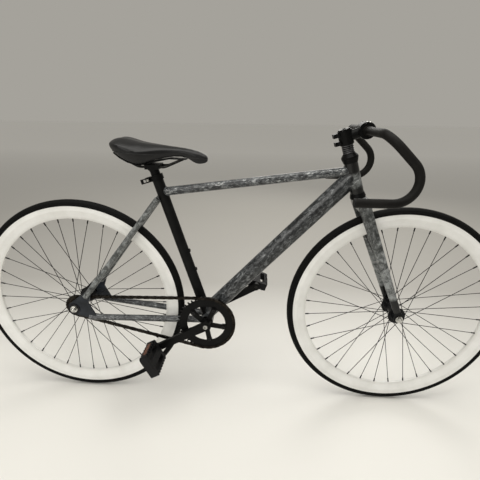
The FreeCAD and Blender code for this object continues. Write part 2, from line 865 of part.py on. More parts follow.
def chain_points():
    """Roller centres of the taut loop, in order, as seen with +X to the right."""
    centres = stay_centres
    lean = pitches_round(centres)[1]
    line = (bracket_place - rear_axle_place).normalize()
    up = V(-line.z, 0, line.x)
    run = centres * math.cos(lean) / chain_pitch
    ring_wrap = chainring_teeth * (0.5 + lean / math.pi)
    sprocket_wrap = sprocket_teeth * (0.5 - lean / math.pi)
    points = []
    for index in range(chain_pitches):
        step = index
        if step < ring_wrap:
            angle = math.pi / 2 + lean - 2 * math.pi * step / chainring_teeth
            points.append(bracket_place + (line * math.cos(angle) + up * math.sin(angle)) * ring_pitch_radius)
            continue
        step -= ring_wrap
        if step < run:
            angle = -math.pi / 2 - lean
            leave = bracket_place + (line * math.cos(angle) + up * math.sin(angle)) * ring_pitch_radius
            points.append(leave + (line * -math.cos(lean) + up * math.sin(lean)) * (step * chain_pitch))
            continue
        step -= run
        if step < sprocket_wrap:
            angle = -math.pi / 2 - lean - 2 * math.pi * step / sprocket_teeth
            points.append(rear_axle_place
                          + (line * math.cos(angle) + up * math.sin(angle)) * sprocket_pitch_radius)
            continue
        step -= sprocket_wrap
        angle = math.pi / 2 + lean
        leave = rear_axle_place + (line * math.cos(angle) + up * math.sin(angle)) * sprocket_pitch_radius
        points.append(leave + (line * math.cos(lean) + up * math.sin(lean)) * (step * chain_pitch))
    return points


def seat_phase(place, radius):
    """Angle of one roller seat, from a chain roller that lies on the pitch circle."""
    on_circle = [p - place for p in chain_points()]
    seated = min(on_circle, key=lambda arm: abs(math.hypot(arm.x, arm.z) - radius))
    return math.atan2(seated.z, seated.x)


def chainring():
    disc = toothed_disc(chainring_teeth, seat_phase(bracket_place, ring_pitch_radius), bracket_place)
    inner = -chain_line - sprocket_thickness / 2
    outer = -chain_line + sprocket_thickness / 2
    window = y_rod(chainring_inner_radius, bracket_place, inner, outer)
    places = spider_places(bolt_circle_radius)
    ears = [y_rod(spider_end_radius, place, inner, outer) for place in places]
    links = []
    for place in places:
        along = (place - bracket_place).normalize()
        up = V(-along.z, 0, along.x)
        reach = chainring_inner_radius - bolt_circle_radius + sprocket_thickness
        middle = place + along * (reach / 2) - ALONG_Y * chain_line
        links.append(block(middle, along, up, reach, 2 * spider_end_radius, sprocket_thickness))
    holes = [y_rod(ring_bolt_radius + seat_gap, place, inner - cut_overrun, outer + cut_overrun)
             for place in places]
    return joined([disc.cut(window)] + ears + links).cut(holes)


def chainring_bolts():
    inner = -chain_line + sprocket_thickness / 2
    outer = -chain_line - sprocket_thickness / 2 - spider_thickness
    bolts = []
    for place in spider_places(bolt_circle_radius):
        bolt = joined([
            y_rod(ring_bolt_radius, place, outer, inner),
            y_rod(ring_bolt_head_radius, place, outer - ring_bolt_head_height, outer),
            y_rod(ring_bolt_head_radius, place, inner, inner + ring_bolt_head_height)])
        face = place + ALONG_Y * (outer - ring_bolt_head_height)
        bolts.append(bolt.cut(hex_socket(face, ALONG_Y, ring_bolt_key, ring_bolt_head_height)))
    return bolts


# Chain
def link_plate(side_a, side_b, holes):
    """One side plate of a link, lying along +X from a pin at the origin."""
    half = chain_pitch / 2
    round_ends = [y_rod(link_plate_radius, V(x, 0, 0), side_a, side_b) for x in (0, chain_pitch)]
    bar = block(V(half, (side_a + side_b) / 2, 0), V(1, 0, 0), V(0, 0, 1), chain_pitch,
                2 * link_plate_radius, side_b - side_a)
    body = joined(round_ends + [bar])
    if not holes:
        return body
    return body.cut([y_rod(pin_radius + running_clearance, V(x, 0, 0), side_a - cut_overrun,
                           side_b + cut_overrun) for x in (0, chain_pitch)])


def inner_link():
    half = roller_width / 2
    plates = [link_plate(half, half + link_plate_thickness, True),
              link_plate(-half - link_plate_thickness, -half, True)]
    rollers = [y_ring(roller_radius, pin_radius + running_clearance, V(x, 0, 0), -half, half)
               for x in (0, chain_pitch)]
    return joined(plates + rollers)


def outer_link():
    start = roller_width / 2 + link_plate_thickness + running_clearance
    end = start + link_plate_thickness
    plates = [link_plate(start, end, False), link_plate(-end, -start, False)]
    reach = end + pin_stand_out
    pins = [y_rod(pin_radius, V(x, 0, 0), -reach, reach) for x in (0, chain_pitch)]
    return joined(plates + pins)


def chain():
    points = chain_points()
    kinds = [inner_link(), outer_link()]
    links = []
    for index, here in enumerate(points):
        ahead = points[(index + 1) % len(points)] - here
        link = kinds[index % len(kinds)].copy()
        turn = FreeCAD.Rotation(V(1, 0, 0), ahead)
        link.Placement = FreeCAD.Placement(here - ALONG_Y * chain_line, turn)
        links.append(link)
    return links


# Wheels
def tyre():
    crown = tyre_outer_radius - tyre_section_radius
    lip = rim_edge_radius + seat_gap
    lip_half = math.sqrt(tyre_section_radius ** 2 - (crown - lip) ** 2)
    bead_out = rim_channel_half - seat_gap
    bead_in = bead_out - tyre_bead_width
    foot = rim_seat_radius + seat_gap
    inside = tyre_section_radius - tyre_wall
    inner_foot = crown - math.sqrt(inside ** 2 - bead_in ** 2)
    outline = [(lip, lip_half), (lip, bead_out), (foot, bead_out), (foot, bead_in), (inner_foot, bead_in)]
    right = [V(r, y, 0) for r, y in outline]
    left = [V(r, -y, 0) for r, y in outline]
    edges = [Part.LineSegment(a, b).toShape() for a, b in zip(right, right[1:])]
    edges.append(Part.Arc(right[-1], V(crown + inside, 0, 0), left[-1]).toShape())
    edges += [Part.LineSegment(a, b).toShape() for a, b in zip(left[::-1], left[-2::-1])]
    edges.append(Part.Arc(left[0], V(tyre_outer_radius, 0, 0), right[0]).toShape())
    return Part.Face(Part.Wire(edges)).revolve(ORIGIN, ALONG_Y, 360)


def wheel_point(radius, angle, side):
    return V(radius * math.cos(angle), side, radius * math.sin(angle))


def wheel_turned(pieces, turn):
    return [piece.rotated(ORIGIN, ALONG_Y, -turn) for piece in pieces]


def valve_line(clearance):
    angle = math.radians(valve_angle)
    crown = tyre_outer_radius - tyre_section_radius
    outer = wheel_point(crown - tyre_section_radius + tyre_wall + inner_tube_wall, angle, 0)
    return rod(valve_radius + clearance, outer, wheel_point(rim_inner_radius - valve_reach, angle, 0))


def inner_tube():
    crown = tyre_outer_radius - tyre_section_radius
    outside = tyre_section_radius - tyre_wall - inner_tube_clearance
    body = Part.makeTorus(crown, outside, ORIGIN, ALONG_Y)
    bore = Part.makeTorus(crown, outside - inner_tube_wall, ORIGIN, ALONG_Y)
    return joined([body, valve_line(0)]).cut(bore)


def rim(spokes):
    nose = rim_inner_radius
    seat = rim_seat_radius
    well = seat - rim_well_depth
    ceiling = well - rim_wall
    shoulder = ceiling - rim_shoulder_drop
    outside = [(rim_edge_radius, rim_half_width), (shoulder, rim_half_width), (nose, rim_nose_half_width)]
    channel = [(well, rim_well_half_width), (seat, rim_well_half_width), (seat, rim_channel_half),
               (rim_edge_radius, rim_channel_half)]
    half = outside[::-1] + [(rim_edge_radius, rim_channel_half)]
    skin = half + channel[-2::-1]
    outline = skin + [(r, -y) for r, y in skin[::-1]]
    floor = nose + rim_nose_wall
    slope = (rim_half_width - rim_nose_half_width) / (shoulder - nose)
    floor_half = rim_nose_half_width + slope * rim_nose_wall - rim_wall
    wide = rim_half_width - rim_wall
    hollow = [(floor, floor_half), (shoulder, wide), (ceiling, wide)]
    chamber = hollow + [(r, -y) for r, y in hollow[::-1]]
    body = y_turned(outline, ORIGIN).cut(y_turned(chamber, ORIGIN))
    drills = [line(nipple_radius + drill_clearance) for line in spokes]
    return body.cut(drills + [valve_line(trim_gap)])


def spoke_lines():
    """For each spoke: where it leaves the flange, where it meets the rim, its side and its set."""
    lines = []
    per_side = spoke_count // 2
    reach = math.radians(720.0 * spoke_crosses / spoke_count)
    for side in (-1, 1):
        for index in range(per_side):
            lead = 1 if index % 2 == 0 else -1
            hub_angle = 2 * math.pi * (index + (side + 1) / 4) / per_side
            stand = spoke_lean if lead == 1 else seat_gap
            offset = lead * (flange_thickness / 2 + spoke_radius + stand)
            start = wheel_point(spoke_circle_radius, hub_angle, side * (flange_side + offset))
            end = wheel_point(rim_inner_radius, hub_angle + lead * reach, side * spoke_rim_stagger)
            lines.append((start, end, side, lead))
    return lines


def spoke(start, end, side, lead):
    along = (end - start).normalize()
    far = ALONG_Y * (-side * lead)
    through = flange_thickness + seat_gap
    stand = spoke_lean if lead == 1 else seat_gap
    bend = start + far * (spoke_radius + stand + through)
    head = bend + far * spoke_head_thickness
    seat = end + along * (rim_nose_wall + nipple_seat_gap)
    return joined([
        rod(spoke_radius, start, end), Part.makeSphere(spoke_radius, start), rod(spoke_radius, start, bend),
        rod(spoke_head_radius, bend, head), rod(nipple_radius, end - along * nipple_length, seat),
        rod(nipple_head_radius, seat, seat + along * nipple_head_length)])


def nipple_drill(start, end):
    along = (end - start).normalize()
    depth = rim_nose_wall + nipple_head_length

    def drill(radius):
        return rod(radius, end - along * nipple_length, end + along * depth)
    return drill


def flange_drills():
    drills = []
    for start, end, side, lead in spoke_lines():
        middle = V(start.x, side * flange_side, start.z)
        drills.append(y_rod(spoke_radius + drill_clearance, middle, -flange_thickness, flange_thickness))
    return drills


def hub(half, boss):
    inner = flange_side - flange_thickness / 2
    outer = flange_side + flange_thickness / 2
    seat = half - bearing_width
    right = [(hub_bore_radius, 0), (hub_bore_radius, seat), (bearing_outer_radius + seat_gap, seat),
             (bearing_outer_radius + seat_gap, half), (boss, half), (boss, outer), (flange_radius, outer),
             (flange_radius, inner), (hub_barrel_radius, inner), (hub_barrel_radius, 0)]
    outline = right[1:-1] + [(r, -y) for r, y in right[-2:0:-1]]
    shell = y_turned(outline, ORIGIN).cut(flange_drills())
    bearings = [y_ring(bearing_outer_radius, axle_bore, ORIGIN, a, b)
                for a, b in ((seat, half), (-half, -seat))]
    return [shell] + bearings


def axle(hub_half, gap, thickness):
    """Axle with its two locknuts, which stand between the bearings and the dropouts."""
    end = gap / 2 + thickness + washer_thickness + axle_in_nut
    inner = hub_half + body_gap
    outer = gap / 2
    right = [(axle_radius, inner), (locknut_radius, inner), (locknut_radius, outer), (axle_radius, outer),
             (axle_radius, end), (0, end)]
    outline = [(r, -y) for r, y in right[::-1]] + right
    return y_turned(outline, ORIGIN)


def axle_nuts(gap, thickness, washer_radius):
    face = gap / 2 + thickness
    seat = face + washer_thickness
    washer = y_ring(washer_radius, nut_bore, ORIGIN, face, seat)
    corner = nut_across_flats / math.sqrt(3)
    hexagon = [wheel_point(corner, math.pi * k / 3, seat) for k in range(6)]
    flats = plate(hexagon, nut_height)
    flange = y_rod(nut_flange_radius, ORIGIN, seat, seat + nut_flange_thickness)
    crown = Part.makeCone(nut_across_flats / 2, nut_across_flats / 4, nut_dome_height,
                          ALONG_Y * (seat + nut_height), ALONG_Y)
    nut = joined([flange, flats, crown]).cut(y_rod(nut_bore, ORIGIN, seat - cut_overrun,
                                                   seat + axle_in_nut + seat_gap))
    return pair(washer) + pair(nut)


def hex_socket(face, inward, flats, depth):
    """Six-sided key socket, sunk from a bolt head's face."""
    side = inward.cross(ALONG_Y)
    side = side.normalize() if side.Length > running_clearance else V(1, 0, 0)
    other = inward.cross(side)
    corner = flats / math.sqrt(3)
    points = []
    for index in range(6):
        angle = math.pi * index / 3
        points.append(face + side * (corner * math.cos(angle)) + other * (corner * math.sin(angle)))
    return Part.Face(closed_wire(points)).extrude(inward * depth)


def at(shapes, place):
    moved = []
    for shape in shapes:
        copy = shape.copy()
        copy.translate(place)
        moved.append(copy)
    return moved


def rear_sprocket():
    disc = toothed_disc(sprocket_teeth, seat_phase(rear_axle_place, sprocket_pitch_radius), rear_axle_place)
    return disc.cut(y_rod(rear_boss_radius + seat_gap, rear_axle_place, -rear_hub_half, 0))


def sprocket_lockring():
    inner = -chain_line - sprocket_thickness / 2
    return y_ring(lockring_radius, rear_boss_radius + seat_gap, rear_axle_place,
                  inner - lockring_thickness, inner)


# Pedals
def pedal_place(side):
    return bracket_place + crank_back * (crank_length * -side)


def pedal_frame(side, tilt):
    """Forward and up directions of a pedal that is tipped nose down by its tilt."""
    angle = math.radians(tilt)
    forward = V(math.cos(angle), 0, -math.sin(angle))
    return forward, V(-forward.z, 0, forward.x), pedal_place(side)


def pedal_inner():
    return crank_outer + crank_flare + pedal_gap


def pedal_axle(side):
    inner = crank_outer + crank_flare - crank_thickness
    end = pedal_inner() + pedal_width - pedal_cap_length - body_gap
    shaft = y_rod(pedal_axle_radius, pedal_place(side), side * inner, side * end)
    face = crank_outer + crank_flare
    shoulder = face + pedal_gap - body_gap
    collar = y_rod(pedal_barrel_radius, pedal_place(side), side * face, side * shoulder)
    return joined([shaft, collar])


def pedal_body(side, tilt):
    forward, up, place = pedal_frame(side, tilt)
    middle = side * (pedal_inner() + pedal_width / 2)
    centre = place + ALONG_Y * middle
    body = block(centre, forward, up, pedal_length, pedal_thickness, pedal_width)
    upright = [edge for edge in body.Edges if abs(edge.Length - pedal_thickness) < running_clearance]
    body = body.makeFillet(pedal_corner, upright)
    cuts = []
    for sign in (-1, 1):
        offset = forward * (sign * pedal_window_offset)
        cuts.append(block(centre + offset, forward, up, pedal_window_length,
                          pedal_thickness + cut_overrun, pedal_window_width))
        pocket = forward * (sign * pedal_length / 2)
        cuts.append(block(centre + pocket, forward, up, 2 * reflector_depth, reflector_height,
                          reflector_width))
        for edge in (-1, 1):
            for index in range(pedal_tooth_count):
                spread = (index + 0.5) / pedal_tooth_count - 0.5
                notch = ALONG_Y * (spread * (pedal_width - 2 * pedal_corner))
                top = up * (edge * pedal_thickness / 2) + forward * (sign * pedal_length / 2)
                cuts.append(block(centre + notch + top, forward, up, pedal_window_length,
                                  2 * pedal_tooth_depth, pedal_tooth_width))
    body = body.cut(cuts)
    bore = y_rod(pedal_axle_radius + running_clearance, place, side * (pedal_inner() - cut_overrun),
                 side * (pedal_inner() + pedal_width - pedal_cap_length))
    return body.cut(bore)


def pedal_reflectors(side, tilt):
    forward, up, place = pedal_frame(side, tilt)
    centre = place + ALONG_Y * (side * (pedal_inner() + pedal_width / 2))
    depth = reflector_depth - trim_gap
    plates = []
    for sign in (-1, 1):
        middle = centre + forward * (sign * (pedal_length / 2 - reflector_depth / 2))
        plates.append(block(middle, forward, up, depth, reflector_height - 2 * trim_gap,
                            reflector_width - 2 * trim_gap))
    return plates


# Seat collar, its lever and the seat post
def collar_ear_forward():
    return -(seat_tube_radius + collar_wall + collar_ear_length / 2)


def collar_middle():
    return seat_tube_length - collar_height / 2


def seat_collar():
    bottom = on_seat_tube(seat_tube_length - collar_height)
    top = on_seat_tube(seat_tube_length)
    band = rod(seat_tube_radius + collar_wall, bottom, top)
    ears = block(on_seat_tube(collar_middle(), collar_ear_forward()), seat_forward, seat_up,
                 collar_ear_length + 2 * collar_wall, collar_height, collar_slot + 2 * collar_ear_width)
    bore = rod(seat_tube_radius + seat_gap, on_seat_tube(0), on_seat_tube(seat_tube_length + cut_overrun))
    slot = block(on_seat_tube(collar_middle(), collar_ear_forward()), seat_forward, seat_up,
                 collar_ear_length * 2 + seat_tube_radius, collar_height + cut_overrun, collar_slot)
    reach = collar_slot + collar_ear_width + cut_overrun
    hole = rod(skewer_radius + seat_gap, skewer_place(-reach), skewer_place(reach))
    return joined([band, ears]).cut([bore, slot, hole])


def skewer_place(side):
    return on_seat_tube(collar_middle(), collar_ear_forward(), side)


def lever_pivot():
    face = collar_slot / 2 + collar_ear_width
    return skewer_place(-(face + body_gap + lever_cheek_radius))


def skewer():
    """The clamp rod: an eye for the lever on one side and a nut on the other."""
    face = collar_slot / 2 + collar_ear_width
    pivot = lever_pivot()
    shank = rod(skewer_radius, pivot, skewer_place(face + skewer_nut_length))
    eye = rod(lever_eye_radius, pivot - seat_up * lever_eye_half, pivot + seat_up * lever_eye_half)
    nut = rod(skewer_nut_radius, skewer_place(face), skewer_place(face + skewer_nut_length))
    pin_hole = rod(lever_pin_radius + running_clearance, pivot - seat_up * (lever_eye_half + cut_overrun),
                   pivot + seat_up * (lever_eye_half + cut_overrun))
    return joined([shank, eye, nut]).cut(pin_hole)


def seat_lever():
    """A looped lever: two cheeks beside the eye, two bars and a joining end."""
    pivot = lever_pivot()
    inner = lever_eye_half + body_gap
    outer = inner + lever_cheek_thickness
    pieces = [rod(lever_pin_radius, pivot - seat_up * outer, pivot + seat_up * outer)]
    for sign in (-1, 1):
        up = seat_up * sign
        pieces.append(rod(lever_cheek_radius, pivot + up * inner, pivot + up * outer))
        middle = pivot + up * ((inner + outer) / 2) - seat_forward * (lever_length / 2)
        pieces.append(block(middle, seat_forward, seat_up, lever_length, lever_cheek_thickness,
                            lever_bar_width))
    end = pivot - seat_forward * (lever_length - lever_end_length / 2)
    pieces.append(block(end, seat_forward, seat_up, lever_end_length, 2 * outer, lever_bar_width))
    return joined(pieces)


def seat_post():
    top = on_seat_tube(seat_post_top)
    return ring(seat_post_radius, seat_post_radius - seat_post_wall,
                on_seat_tube(seat_post_top - seat_post_length), top)


def rail_height():
    return on_seat_tube(seat_post_top).z + clamp_height_above_post + cradle_thickness


def clamp_centre():
    place = on_seat_tube(seat_post_top)
    return V(place.x, 0, rail_height())


def saddle_clamp():
    """Post head with its lower cradle, the upper cradle and the bolt that pulls them together."""
    centre = clamp_centre()
    up = V(0, 0, 1)
    forward = V(1, 0, 0)
    post_top = on_seat_tube(seat_post_top)
    lower = block(centre - up * (cradle_thickness / 2), forward, up, clamp_length,
                  cradle_thickness - seat_gap, clamp_width)
    plug = rod(seat_post_radius - seat_post_wall - seat_gap, post_top - seat_up * clamp_length, post_top)
    neck_height = clamp_height_above_post + cradle_thickness / 2
    neck = Part.makeCone(seat_post_radius, clamp_neck_radius, neck_height, post_top, seat_up)
    flat = block(centre + up * cradle_thickness, forward, up, 2 * clamp_length, 2 * cradle_thickness,
                 clamp_width)
    head = joined([lower, plug, neck]).cut(flat)
    upper = block(centre + up * (cradle_thickness / 2), forward, up, clamp_length,
                  cradle_thickness - seat_gap, clamp_width)
    reach = V(clamp_length, 0, 0)
    grooves = [rod(rail_radius + seat_gap, centre + side - reach, centre + side + reach)
               for side in (ALONG_Y * -rail_half_spacing, ALONG_Y * rail_half_spacing)]
    top = centre + up * cradle_thickness
    hole = rod(clamp_bolt_radius + seat_gap, centre - up * (cradle_thickness + clamp_height_above_post), top)
    under_head = top - up * clamp_bolt_head_height
    recess = rod(clamp_bolt_head_radius + seat_gap, under_head, top + up * cut_overrun)
    shank = rod(clamp_bolt_radius, centre - up * cradle_thickness, under_head)
    bolt = joined([shank, rod(clamp_bolt_head_radius, under_head, top)])
    bolt = bolt.cut(hex_socket(top, -up, clamp_bolt_key, clamp_bolt_head_height))
    return [head.cut(grooves + [hole]), upper.cut(grooves + [hole, recess]), bolt]


# Saddle
def saddle_tail():
    lift = (cradle_thickness + clamp_to_base + saddle_base_thickness + trim_gap
            - saddle_height * saddle_low_share)
    return clamp_centre() + V(-saddle_length * saddle_clamp_share, 0, lift)


def saddle_section(station):
    """One cross-section: flat underside, flanks that rise to a ridge, and a crowned top between them."""
    along, half_share, top_share, under_share = station
    origin = saddle_tail() + V(saddle_length * along, 0, 0)
    half = saddle_width / 2 * half_share
    top = saddle_height * top_share
    under = saddle_height * under_share
    tall = top - under
    foot = half * saddle_underside_share
    side = half * saddle_side_share
    side_z = under + tall * saddle_side_height_share
    ridge_z = under + tall * saddle_ridge_height_share

    def point(y, z):
        return origin + V(0, y, z)

    edges = [Part.LineSegment(point(-foot, under), point(foot, under)).toShape(),
             Part.Arc(point(foot, under), point(side, side_z), point(half, ridge_z)).toShape(),
             Part.Arc(point(half, ridge_z), point(0, top), point(-half, ridge_z)).toShape(),
             Part.Arc(point(-half, ridge_z), point(-side, side_z), point(-foot, under)).toShape()]
    return Part.Wire(edges)


def saddle_cover():
    return Part.makeLoft([saddle_section(row) for row in saddle_station_shares], True, False)


def saddle_base():
    """The moulded tray under the padding."""
    sections = []
    first, last = saddle_base_stations
    for along, half_share, top_share, under_share in saddle_station_shares[first:last]:
        origin = saddle_tail() + V(saddle_length * along, 0, saddle_height * under_share - trim_gap)
        half = saddle_width / 2 * half_share * saddle_base_width_share
        low = V(0, 0, -saddle_base_thickness)
        sections.append(closed_wire([origin + V(0, -half, 0), origin + V(0, half, 0),
                                     origin + V(0, half, 0) + low, origin + V(0, -half, 0) + low]))
    return Part.makeLoft(sections, True, True).cut(saddle_cover())


def rounded_path(points, radius):
    """Straight runs joined by tangent arcs of one radius."""
    edges = []
    start = points[0]
    for before, corner, after in zip(points, points[1:], points[2:]):
        into = (corner - before).normalize()
        out = (after - corner).normalize()
        turn = into.getAngle(out)
        reach = radius * math.tan(turn / 2)
        enter = corner - into * reach
        leave = corner + out * reach
        bulge = corner + (out - into).normalize() * (radius / math.cos(turn / 2) - radius)
        edges.append(Part.LineSegment(start, enter).toShape())
        edges.append(Part.Arc(enter, bulge, leave).toShape())
        start = leave
    edges.append(Part.LineSegment(start, points[-1]).toShape())
    return Part.Wire(edges)


def swept_rod(path, radius):
    start = path.Vertexes[0].Point
    tangent = path.Edges[0].tangentAt(path.Edges[0].FirstParameter)
    circle = Part.Wire(Part.Circle(start, tangent, radius).toShape())
    shell = path.makePipeShell([circle], True, False)
    return shell.Solids[0] if shell.Solids else Part.makeSolid(shell)


def underside_at(share):
    rows = saddle_station_shares
    for low, high in zip(rows, rows[1:]):
        if low[0] <= share <= high[0]:
            mix = (share - low[0]) / (high[0] - low[0])
            return saddle_height * (low[3] + (high[3] - low[3]) * mix)
    return 0.0


def saddle_rails():
    centre = clamp_centre()
    tail = saddle_tail()
    base = saddle_base()
    rails = []
    for sign in (-1, 1):
        rear_end = tail + V(saddle_length * rail_tail_share, sign * rail_rear_half_spacing,
                            underside_at(rail_tail_share) - saddle_base_thickness / 2)
        nose_end = tail + V(saddle_length * rail_nose_share, sign * rail_nose_half_spacing,
                            underside_at(rail_nose_share) - saddle_base_thickness / 2)
        run_rear = centre + V(-rail_run / 2, sign * rail_half_spacing, 0)
        run_front = centre + V(rail_run / 2, sign * rail_half_spacing, 0)
        path = rounded_path([rear_end, run_rear, run_front, nose_end], rail_bend_radius)
        rail = swept_rod(path, rail_radius).cut(base)
        rails.append(max(rail.Solids, key=lambda piece: piece.Volume))
    return rails


# Headset, steerer and fork
def headset_cups():
    skirt_out = head_tube_bore - seat_gap
    skirt_in = skirt_out - cup_skirt_wall
    seat = headset_bearing_radius + seat_gap
    upper = steer_turned([
        (skirt_in, head_top - cup_skirt_length), (skirt_out, head_top - cup_skirt_length),
        (skirt_out, head_top), (cup_root_radius, head_top), (upper_cup_radius, upper_cup_top),
        (seat, upper_cup_top), (seat, upper_cup_top - headset_seat_depth),
        (skirt_in, upper_cup_top - headset_seat_depth)])
    low = head_bottom - lower_cup_height
    lower = steer_turned([
        (skirt_in, head_bottom + cup_skirt_length), (skirt_out, head_bottom + cup_skirt_length),
        (skirt_out, head_bottom), (cup_root_radius, head_bottom), (lower_cup_radius, low),
        (seat, low), (seat, low + headset_seat_depth), (skirt_in, low + headset_seat_depth)])
    return [upper, lower]


def headset_bearings():
    inner = steerer_radius + running_clearance
    high = upper_cup_top - headset_seat_depth
    low = head_bottom - lower_cup_height + headset_seat_depth
    return [ring(headset_bearing_radius, inner, on_steerer(high), on_steerer(high + headset_bearing_height)),
            ring(headset_bearing_radius, inner, on_steerer(low - headset_bearing_height), on_steerer(low))]


def headset_cover():
    base = upper_cup_top + body_gap
    return steer_turned([(steerer_bore, base), (top_cover_radius, base),
                         (top_cover_radius, base + top_cover_height / 4),
                         (spacer_radius, spacers_bottom), (steerer_bore, spacers_bottom)])


def headset_spacers():
    spacers = []
    for index in range(spacer_count):
        bottom = spacers_bottom + index * spacer_height
        top = bottom + spacer_height
        face = spacer_radius - spacer_edge
        spacers.append(steer_turned([
            (steerer_bore, bottom), (face, bottom), (spacer_radius, bottom + spacer_edge),
            (spacer_radius, top - spacer_edge), (face, top), (steerer_bore, top)]))
    return spacers


def crown_race():
    return ring(crown_race_radius, steerer_bore, on_steerer(axle_to_crown),
                on_steerer(axle_to_crown + crown_race_height))


def steerer():
    return ring(steerer_radius, steerer_radius - steerer_wall, on_steerer(axle_to_crown - crown_height),
                on_steerer(stem_top - cap_recess))


def fork_crown():
    half = blade_top_side + blade_top_half_thickness
    middle = on_steerer(axle_to_crown - crown_height / 2, blade_top_forward)
    body = block(middle, steer_forward, steer_up, crown_length, crown_height, 2 * half)
    upright = [edge for edge in body.Edges if abs(edge.Length - crown_height) < running_clearance]
    body = body.makeFillet(crown_round, upright)
    shoulders = [edge for edge in body.Edges
                 if abs(edge.Length - crown_length + 2 * crown_round) < running_clearance
                 and (edge.CenterOfMass - middle).dot(steer_up) > 0]
    body = body.makeFillet(crown_shoulder, shoulders) if shoulders else body
    return body.cut(rod(steerer_bore, on_steerer(axle_to_crown - 2 * crown_height),
                        on_steerer(axle_to_crown + cut_overrun)))


def blade_ends():
    top = on_steerer(axle_to_crown - crown_height, blade_top_forward, -blade_top_side)
    tip = on_steerer(blade_tip_up, blade_tip_forward, -blade_tip_side)
    return top, tip


def blade_form(inset):
    top, tip = blade_ends()

    def oval(centre, depth, half):
        front = centre + steer_forward * (depth - inset)
        edge = Part.Ellipse(front, centre + ALONG_Y * (half - inset), centre)
        return Part.Wire(edge.toShape())

    return Part.makeLoft([oval(top, blade_top_depth, blade_top_half_thickness),
                          oval(tip, blade_tip_depth, blade_tip_half_thickness)], True, True)


def front_dropout():
    """Right fork end: a plate let into the blade, with a slot that opens downwards."""
    outer = -front_hub_gap / 2 - front_dropout_thickness
    inner = -front_hub_gap / 2
    top, tip = blade_ends()
    along = (V(top.x, 0, top.z) - V(tip.x, 0, tip.z)).normalize()
    across = V(along.z, 0, -along.x) * (blade_tip_depth - blade_wall)
    tongue = V(tip.x, 0, tip.z) + along * front_dropout_reach
    foot = V(tip.x, 0, tip.z) - along * seat_gap
    axle_at = front_axle_place
    side = V(0, outer, 0)
    web = [tongue - across, tongue + across, foot + across, axle_at + steer_forward * front_dropout_radius,
           axle_at - steer_forward * front_dropout_radius, foot - across]
    body = joined([plate([p + side for p in web], front_dropout_thickness),
                   y_rod(front_dropout_radius, axle_at, outer, inner)])
    half = axle_radius + trim_gap
    slot = block(axle_at - steer_up * front_dropout_radius + ALONG_Y * ((inner + outer) / 2), steer_forward,
                 steer_up, 2 * half, 2 * front_dropout_radius, front_dropout_thickness + cut_overrun)
    return body.cut([slot, y_rod(half, axle_at, outer - cut_overrun, inner + cut_overrun)])


def fork_blade():
    blade = blade_form(0).cut([blade_form(blade_wall), front_dropout()])
    return max(blade.Solids, key=lambda piece: piece.Volume)


# Stem and handlebar
def bar_place(forward=0.0, up=0.0, side=0.0):
    return on_steerer(stem_bottom + stem_clamp_height / 2 + stem_rise + up, stem_length + forward, side)


def face_bolt_places():
    ups = (-face_bolt_offset, face_bolt_offset)
    return [(up, side) for up in ups for side in (-face_bolt_side, face_bolt_side)]


def bar_clamp_cuts():
    half = bar_clamp_half_width + cut_overrun
    bore = rod(bar_sleeve_radius + seat_gap, bar_place(side=-half), bar_place(side=half))
    holes = [rod(stem_bolt_radius + seat_gap, bar_place(-face_bolt_grip, up, side),
                 bar_place(bar_clamp_radius, up, side)) for up, side in face_bolt_places()]
    return [bore] + holes


def bar_clamp_half(sign):
    body = rod(bar_clamp_radius, bar_place(side=-bar_clamp_half_width), bar_place(side=bar_clamp_half_width))
    size = 2 * bar_clamp_radius + cut_overrun
    centre = bar_place(-sign * (size / 2 - stem_split / 2))
    return body.cut(block(centre, steer_forward, steer_up, size, size, size))


def stem_lug_places():
    middle = stem_bottom + stem_clamp_height / 2
    return [middle + stem_lug_spacing / 2, middle - stem_lug_spacing / 2]


def stem_lug_forward():
    return -(stem_clamp_radius + stem_lug_length / 2 - stem_split)


def stem():
    clamp = rod(stem_clamp_radius, on_steerer(stem_bottom), on_steerer(stem_top))
    neck = rod(stem_neck_radius, on_steerer(stem_bottom + stem_clamp_height / 2), bar_place())
    lugs = [block(on_steerer(up, stem_lug_forward()), steer_forward, steer_up,
                  stem_lug_length + stem_clamp_radius / 2, stem_lug_height, 2 * stem_lug_half_width)
            for up in stem_lug_places()]
    size = 2 * bar_clamp_radius + cut_overrun
    front = block(bar_place(size / 2 - stem_split / 2), steer_forward, steer_up, size, size, size)
    body = joined([clamp, neck.cut(front), bar_clamp_half(-1)] + lugs)
    bore = rod(steerer_bore, on_steerer(stem_bottom - cut_overrun), on_steerer(stem_top + cut_overrun))
    slit = block(on_steerer(stem_bottom + stem_clamp_height / 2, -stem_clamp_radius - stem_lug_length / 2),
                 steer_forward, steer_up, 2 * stem_lug_length + stem_clamp_radius,
                 stem_clamp_height + cut_overrun, stem_split)
    cross = [rod(stem_bolt_radius + seat_gap, on_steerer(up, stem_lug_forward(), -stem_clamp_radius),
                 on_steerer(up, stem_lug_forward(), stem_clamp_radius)) for up in stem_lug_places()]
    return body.cut([bore, slit] + cross + bar_clamp_cuts())


def stem_faceplate():
    seats = [rod(stem_bolt_head_radius + seat_gap, bar_place(face_bolt_seat, up, side),
                 bar_place(bar_clamp_radius, up, side)) for up, side in face_bolt_places()]
    return bar_clamp_half(1).cut(bar_clamp_cuts() + seats)


